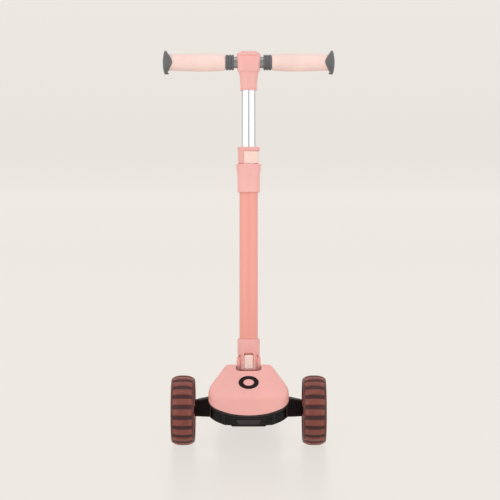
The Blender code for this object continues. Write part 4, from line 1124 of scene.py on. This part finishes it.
def make_clamp():
    collar = lathe(smooth_profile([
        mm(13.1, 347.5), mm(17.9, 347.5), mm(18.3, 348.4),
        mm(18.4, 366), mm(18.5, 369.2), mm(19.4, 370.8),
        mm(19.4, 375.2), mm(18.4, 376.3), mm(13.1, 376.3),
    ], 0.5 * MM))
    pocket = ring_sector(15 * MM, 30 * MM, radians(-27), radians(152))
    ears = block(mm(-8, 13.6, 351), mm(8, 25, 367))
    pivot = Vector(mm(13, 20.5, 359))
    seat = Matrix.Translation((0, pivot.y, pivot.z)) @ along_x()
    cuts = [
        rod(13.1 * MM, 330 * MM, 390 * MM, FINE),
        block(mm(-0.9, 5, 340), mm(0.9, 40, 380)),
        turn(rod(2.8 * MM, -30 * MM, 30 * MM), seat),
    ]
    collar_obj = temporary(collar)
    boolean(collar_obj, [prism(pocket, 346 * MM, 369 * MM)])
    boolean(collar_obj, [ears], "UNION")
    piece("clamp_ring", taken(collar_obj), "stem", "pink_shell", ["clamp_collar"], STEM,
          cuts=cuts, bevel=0.35 * MM, bevel_segments=2)

    start = radians(-25)
    end = radians(112)
    outer = circle_points(18.2 * MM, 60, start - pi / 2, end - pi / 2)
    inner = circle_points(15.4 * MM, 60, end - pi / 2, start - pi / 2)
    knuckle = circle_points(4.6 * MM, 24, 0, pi, (pivot.x, pivot.y))
    outline = outer + [mm(17.4, 15)] + knuckle + [mm(12.6, 12.6)] + inner
    lever = prism(outline, 347.9 * MM, 368.5 * MM)
    cuts = [
        block((pivot.x - 5.5 * MM, pivot.y - 5 * MM, 355.7 * MM),
              (pivot.x + 6 * MM, pivot.y + 8 * MM, 362.3 * MM)),
        turn(rod(2.1 * MM, 340 * MM, 380 * MM), Matrix.Translation((pivot.x, pivot.y, 0))),
    ]
    for k in range(9):
        angle = radians(-12 + 6 * k) - pi / 2
        cuts.append(turn(rod(0.32 * MM, 350.4 * MM, 366 * MM, 10),
                         Matrix.Translation((18.25 * MM * cos(angle), 18.25 * MM * sin(angle), 0))))
    piece("clamp_lever", lever, "lever", "cream_plastic",
          ["quick_release_lever"], STEM, cuts=cuts, bevel=0.6 * MM)


# ---------------------------------------------------------------- handlebar

def superellipse(half_x, half_y, power, height, count=64):
    points = []
    for i in range(count):
        angle = 2 * pi * i / count
        c, s = cos(angle), sin(angle)
        x = half_x * abs(c) ** (2 / power) * (1 if c >= 0 else -1)
        y = half_y * abs(s) ** (2 / power) * (1 if s >= 0 else -1)
        points.append((x, y, height))
    return points


def make_t_joint():
    """The T-joint: a tapering neck that grows into a soft-edged block around the bar."""
    stations = [
        (-48.5, 13.9, 13.9, 2.0), (-48.2, 14.5, 14.5, 2.0), (-47.4, 14.9, 14.9, 2.0),
        (-45.8, 14.9, 14.9, 2.0), (-45.0, 14.4, 14.4, 2.0), (-43.5, 14.3, 14.3, 2.0),
        (-34, 14.8, 14.8, 2.1), (-25, 15.7, 15.6, 2.3), (-19, 16.6, 16.2, 2.6),
        (-17.6, 16.9, 16.4, 2.8), (-16.9, 17.6, 16.9, 3.0), (-16.4, 18.5, 17.4, 3.2),
        (-15.2, 19.0, 17.9, 3.4), (-12, 19.4, 18.2, 3.6), (0, 20.3, 18.4, 3.8),
        (6, 20.8, 17.4, 3.8), (9.5, 20.9, 16.0, 3.8), (13, 20.8, 13.4, 3.6), (15.2, 20.2, 10.8, 3.4),
        (16.4, 19.2, 8.8, 3.2), (17.0, 17.4, 6.8, 3.0), (17.2, 14.5, 4.5, 3.0),
    ]
    sections = [superellipse(a * MM, b * MM, power, z * MM) for z, a, b, power in stations]
    place = STEM @ Matrix.Translation((0, 0, BAR_HEIGHT))
    cuts = [rod(13.05 * MM, -60 * MM, -13.8 * MM, 64),
            turn(rod(10.3 * MM, -40 * MM, 40 * MM, 64), along_x())]
    back = Matrix.Rotation(radians(-90), 4, "X")
    for height, radius in ((0, 4.2), (-32 * MM, 4.2)):
        cuts.append(turn(rod(radius * MM, 13.6 * MM if height == 0 else 16.2 * MM, 40 * MM),
                         Matrix.Translation((0, 0, height)) @ back))
        cuts.append(turn(rod(2.3 * MM, 8 * MM, 40 * MM), Matrix.Translation((0, 0, height)) @ back))
    # The T-block and its cover take the lighter pink copy, which is painted light.
    piece("t_block", loft(sections), "handlebar", "pink_upper_painted_light", ["t_joint"],
          place, cuts=cuts, bevel=0.4 * MM, bevel_segments=2, sharp=50)
    cap = []
    for x, rise in ((-14.2, -1.4), (-13.6, -0.4), (-12.6, 0), (0, 0), (12.6, 0), (13.6, -0.4),
                    (14.2, -1.4)):
        outer = circle_points((20.2 + rise) * MM, 24, radians(38), radians(142))
        inner = circle_points(16.6 * MM, 24, radians(142), radians(38))
        cap.append([(x * MM, y, z) for y, z in outer + inner])
    piece("t_cover", loft(cap), "handlebar", "pink_upper_painted_light", ["t_cap"], place,
          bevel=0.4 * MM, bevel_segments=2)


def grip_mesh(length_start, length_end):
    """A grip that swells toward its inner half and runs on under the end's flange."""
    bore = 10.3 * MM
    steps = 30
    profile = [(bore, length_start), (12.2 * MM, length_start), (13.2 * MM, length_start + 0.3 * MM)]
    span = length_end - length_start
    for i in range(1, steps):
        share = i / steps
        swell = sin(pi * share ** 0.78) ** 1.1
        profile.append(((13.8 + 1.7 * swell) * MM, length_start + span * share))
    profile += [(13.7 * MM, length_end), (bore, length_end)]
    return lathe(profile, 80)


def grip_end_mesh(start, end, down):
    """A flange with pointed petals at front and back that reach over the grip, and a lower lip."""
    segments = 120
    sections = []
    for i in range(segments):
        angle = 2 * pi * i / segments
        petal = 1 - abs(cos(angle)) ** 1.45
        turned = angle if down > 0 else angle + pi
        below = exp(-(((turned + pi) % (2 * pi) - pi) / 0.28) ** 2)
        root = start + (5.9 - 7.1 * petal) * MM
        outline = [
            (10.4 * MM, start + 6.4 * MM),
            (14.1 * MM, start + 6.4 * MM),
            (14.1 * MM, root),
            (15.2 * MM, root + 0.1 * MM),
            (15.9 * MM, root + 0.8 * MM),
            (16.8 * MM, root + (1.4 + 1.4 * petal) * MM),
            (18.4 * MM, start + (7.9 - 2.4 * below) * MM),
            (19.7 * MM, start + (9.0 - 4.6 * below) * MM),
            (20.5 * MM, start + (9.9 - 3.0 * below) * MM),
            (20.75 * MM, start + 11.0 * MM),
            (20.4 * MM, start + 12.2 * MM),
            (17 * MM, start + 13.8 * MM),
            (9 * MM, start + 15.2 * MM),
            (3 * MM, end),
            (3 * MM, end - 2.4 * MM),
            (10.4 * MM, end - 4.4 * MM),
        ]
        sections.append([(r * cos(angle), r * sin(angle), x) for r, x in outline])
    bm = loft(sections + [sections[0]], closed_ends=False)
    bmesh.ops.remove_doubles(bm, verts=bm.verts, dist=0.01 * MM)
    return bm


def plug_mesh(end):
    """The round plug in the middle of a grip end."""
    return lathe([(0, end - 2.2 * MM), (2.8 * MM, end - 2.2 * MM), (2.8 * MM, end - 0.5 * MM),
                  (2.2 * MM, end - 0.2 * MM), (0, end - 0.1 * MM)], 40)


def collar_mesh(start):
    """A collar with three raised ridges."""
    pitch = 4.85 * MM
    outline = [(10.3 * MM, start)]
    for ridge in range(3):
        low = start + ridge * pitch
        outline += [(12.2 * MM, low), (13.5 * MM, low + 0.5 * MM), (13.5 * MM, low + 3.4 * MM),
                    (12.2 * MM, low + 3.9 * MM), (12.2 * MM, low + 4.5 * MM)]
    outline.append((10.3 * MM, outline[-1][1]))
    return lathe(smooth_profile(outline, 0.3 * MM))


def make_bar():
    """The handlebar tube with a collar, grip, flange and plug at each side, as long as the CAD's."""
    place = STEM @ Matrix.Translation((0, 0, BAR_HEIGHT))
    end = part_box("handlebar_tube")[1].x
    collar_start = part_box("grip_collar_left")[0].x
    grip_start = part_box("grip_left")[0].x
    flange_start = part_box("grip_end_left")[0].x
    flange_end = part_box("grip_end_left")[1].x
    under_flange = 6 * MM
    tube = lathe(smooth_profile([(8.4 * MM, -end), (10 * MM, -end), (10 * MM, end),
                                 (8.4 * MM, end)], 0.3 * MM))
    piece("bar_tube", tube, "handlebar", "bar_metal", ["handlebar_tube"],
          place @ along_x())
    for side, name in SIDES:
        turned = place @ along_x(side)
        piece("ridged_collar_" + name, collar_mesh(collar_start), "handlebar",
              "grip_trim", ["grip_collar_" + name], turned)
        piece("hand_grip_" + name, grip_mesh(grip_start, flange_start + under_flange),
              "handlebar", "grip", ["grip_" + name], turned, sharp=60)
        piece("end_flange_" + name, grip_end_mesh(flange_start, flange_end, side), "handlebar",
              "grip_trim", ["grip_end_" + name], turned)
        piece("end_plug_" + name, plug_mesh(flange_end), "handlebar", "grip_trim",
              (), turned)


# ---------------------------------------------------------------- springs

def spring_mesh(radius, wire, turns, length, closing):
    """A round-wire coil spring along Z; closing flattens its end coils."""
    steps = int(turns * 32)
    sections = []
    for i in range(steps + 1):
        share = i / steps
        angle = 2 * pi * turns * share
        rise = share - closing * sin(2 * pi * share) / (2 * pi)
        height = wire + (length - 2 * wire) * rise
        ring = []
        for u, v in circle_points(wire, 12):
            ring.append(((radius + u) * cos(angle), (radius + u) * sin(angle), height + v))
        sections.append(ring)
    return loft(sections)


def make_springs():
    """Coil springs: the two steering springs, the button spring and the brake's spring; the steering and button
    coils each get a mesh of their own.
    """
    along_y = Matrix.Rotation(radians(-90), 4, "X")
    for side, name in SIDES:
        seat = CHASSIS @ Matrix.Translation((side * 30 * MM, 13.7 * MM, 55 * MM))
        spring = piece("steering_coil_" + name, spring_mesh(4.6 * MM, 0.8 * MM, 4, 21.8 * MM, 0.7),
                       "deck", "spring_steel",
                       ["steering_spring_" + name], seat @ along_y)
        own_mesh(spring)
    seat = STEM @ Matrix.Translation(mm(0, -14.5, 8))
    spring = piece("button_coil", spring_mesh(3.2 * MM, 0.6 * MM, 2.5, 5.2 * MM, 0.6), "stem",
                   "spring_steel", ["fold_button_spring"], seat @ along_y)
    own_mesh(spring)
    seat = Matrix.Translation(Vector(JOINTS["brake_press"]["pos_m"]) - Vector(mm(6, 0, 0)))
    piece("brake_coil", spring_mesh(3.4 * MM, 0.7 * MM, 5, 12 * MM, 0.3), "deck",
          "spring_steel", ["brake_spring"], seat @ along_x())


# ---------------------------------------------------------------- kept CAD nodes

def dress_cad_nodes():
    """Gives every node that stays visible its procedural material."""
    slots = {entry["node"]: entry["material_slot"] for entry in frame["record"]["subparts"]}
    for name, obj in frame["nodes"].items():
        look = LOOK[slots[name]]
        for slot in obj.material_slots:
            slot.material = look


# ---------------------------------------------------------------- stage, light and camera

BACKGROUND = (0.862, 0.823, 0.775)
FLOOR_GLOW = 0.825
FAR_FLOOR_GLOW = 0.775
BACKDROP_GLOW = 0.956


def make_stage():
    """A pale floor that curves up into a backdrop."""
    profile = [(-6.0, 0.0), (3.2, 0.0)]
    radius = 2.0
    for i in range(1, 13):
        angle = radians(90) * i / 12
        profile.append((3.2 + radius * sin(angle), radius - radius * cos(angle)))
    profile.append((5.2, 6.0))
    bm = bmesh.new()
    rows = [[bm.verts.new((x, y, z)) for x in (-7, 7)] for y, z in profile]
    for first, second in zip(rows, rows[1:]):
        bm.faces.new((first[0], first[1], second[1], second[0]))
    mesh = bpy.data.meshes.new("studio_floor")
    bm.to_mesh(mesh)
    bm.free()
    mesh.shade_smooth()
    floor = bpy.data.objects.new("studio_floor", mesh)
    bpy.context.scene.collection.objects.link(floor)
    made, tree, shader = new_material("studio_paper")
    place = tree.nodes.new("ShaderNodeTexCoord")
    split = tree.nodes.new("ShaderNodeSeparateXYZ")
    tree.links.new(place.outputs["Object"], split.inputs["Vector"])
    glow = tree.nodes.new("ShaderNodeMath")
    near = spread(tree, split.outputs["Y"], FLOOR_GLOW, FAR_FLOOR_GLOW, -0.4, 2.0)
    far = spread(tree, split.outputs["Y"], 0, BACKDROP_GLOW - FAR_FLOOR_GLOW, 3.2, 5.0)
    tree.links.new(near, glow.inputs[0])
    tree.links.new(far, glow.inputs[1])
    tree.links.new(glow.outputs["Value"], shader.inputs["Emission Strength"])
    shader.inputs["Base Color"].default_value = (*tone(BACKGROUND, 0.07), 1)
    shader.inputs["Roughness"].default_value = 0.35
    shader.inputs["Specular IOR Level"].default_value = 0.12
    shader.inputs["Emission Color"].default_value = (*BACKGROUND, 1)
    mesh.materials.append(made)


def area_light(name, place, target, size, power, colour=(1, 1, 1)):
    data = bpy.data.lights.new(name, "AREA")
    data.shape = "RECTANGLE"
    data.size, data.size_y = size
    data.energy = power
    data.color = colour
    light = bpy.data.objects.new(name, data)
    light.location = place
    light.rotation_euler = (Vector(target) - Vector(place)).to_track_quat("-Z", "Y").to_euler()
    light.visible_camera = False
    bpy.context.scene.collection.objects.link(light)


def make_lights():
    world = bpy.data.worlds.new("studio")
    world.use_nodes = True
    background = world.node_tree.nodes["Background"]
    background.inputs["Color"].default_value = (0.96, 0.95, 0.94, 1)
    background.inputs["Strength"].default_value = 0.68
    bpy.context.scene.world = world
    target = (0, -0.1, 0.3)
    area_light("left_softbox", (-1.78, -1.34, 0.8), target, (3.3, 2.4), 23.5)
    area_light("right_softbox", (1.78, -1.34, 0.8), target, (3.3, 2.4), 21.5)
    area_light("top_softbox", (0, -0.2, 3.2), target, (2.4, 2.4), 12.5)


CAMERA_PITCH = radians(8.5)
CAMERA_DISTANCE = 3.55
CAMERA_LENS = 147.7
AIM_FROM_HINGE = Vector((0.0023, 0.028, 0.1962))


def make_camera():
    """Straight in front, looking square onto the leaning stem."""
    target = FOLD_HINGE + AIM_FROM_HINGE
    back = Vector((0, -cos(CAMERA_PITCH), sin(CAMERA_PITCH)))
    data = bpy.data.cameras.new("camera")
    data.sensor_width = 36
    data.lens = CAMERA_LENS
    data.clip_end = 50
    camera = bpy.data.objects.new("camera", data)
    camera.location = target + back * CAMERA_DISTANCE
    camera.rotation_euler = (-back).to_track_quat("-Z", "Y").to_euler()
    bpy.context.scene.collection.objects.link(camera)
    bpy.context.scene.camera = camera


# ---------------------------------------------------------------- the whole scene

dress_cad_nodes()
make_wheel("front_left", "front_left_wheel", "front_left_spin", 20)
make_wheel("front_right", "front_right_wheel", "front_right_spin", 20)
make_wheel("rear", "rear_wheel", "rear_spin", 18)
make_cross_beam()
make_front_cover()
make_badge()
make_bumper()
make_bracket()
make_deck()
make_deck_mat()
make_fender()
make_lower_sleeve()
make_button()
make_stem_tubes()
make_clamp()
make_t_joint()
make_bar()
make_springs()
make_stage()
make_lights()
make_camera()
bpy.context.scene.view_settings.view_transform = "Standard"
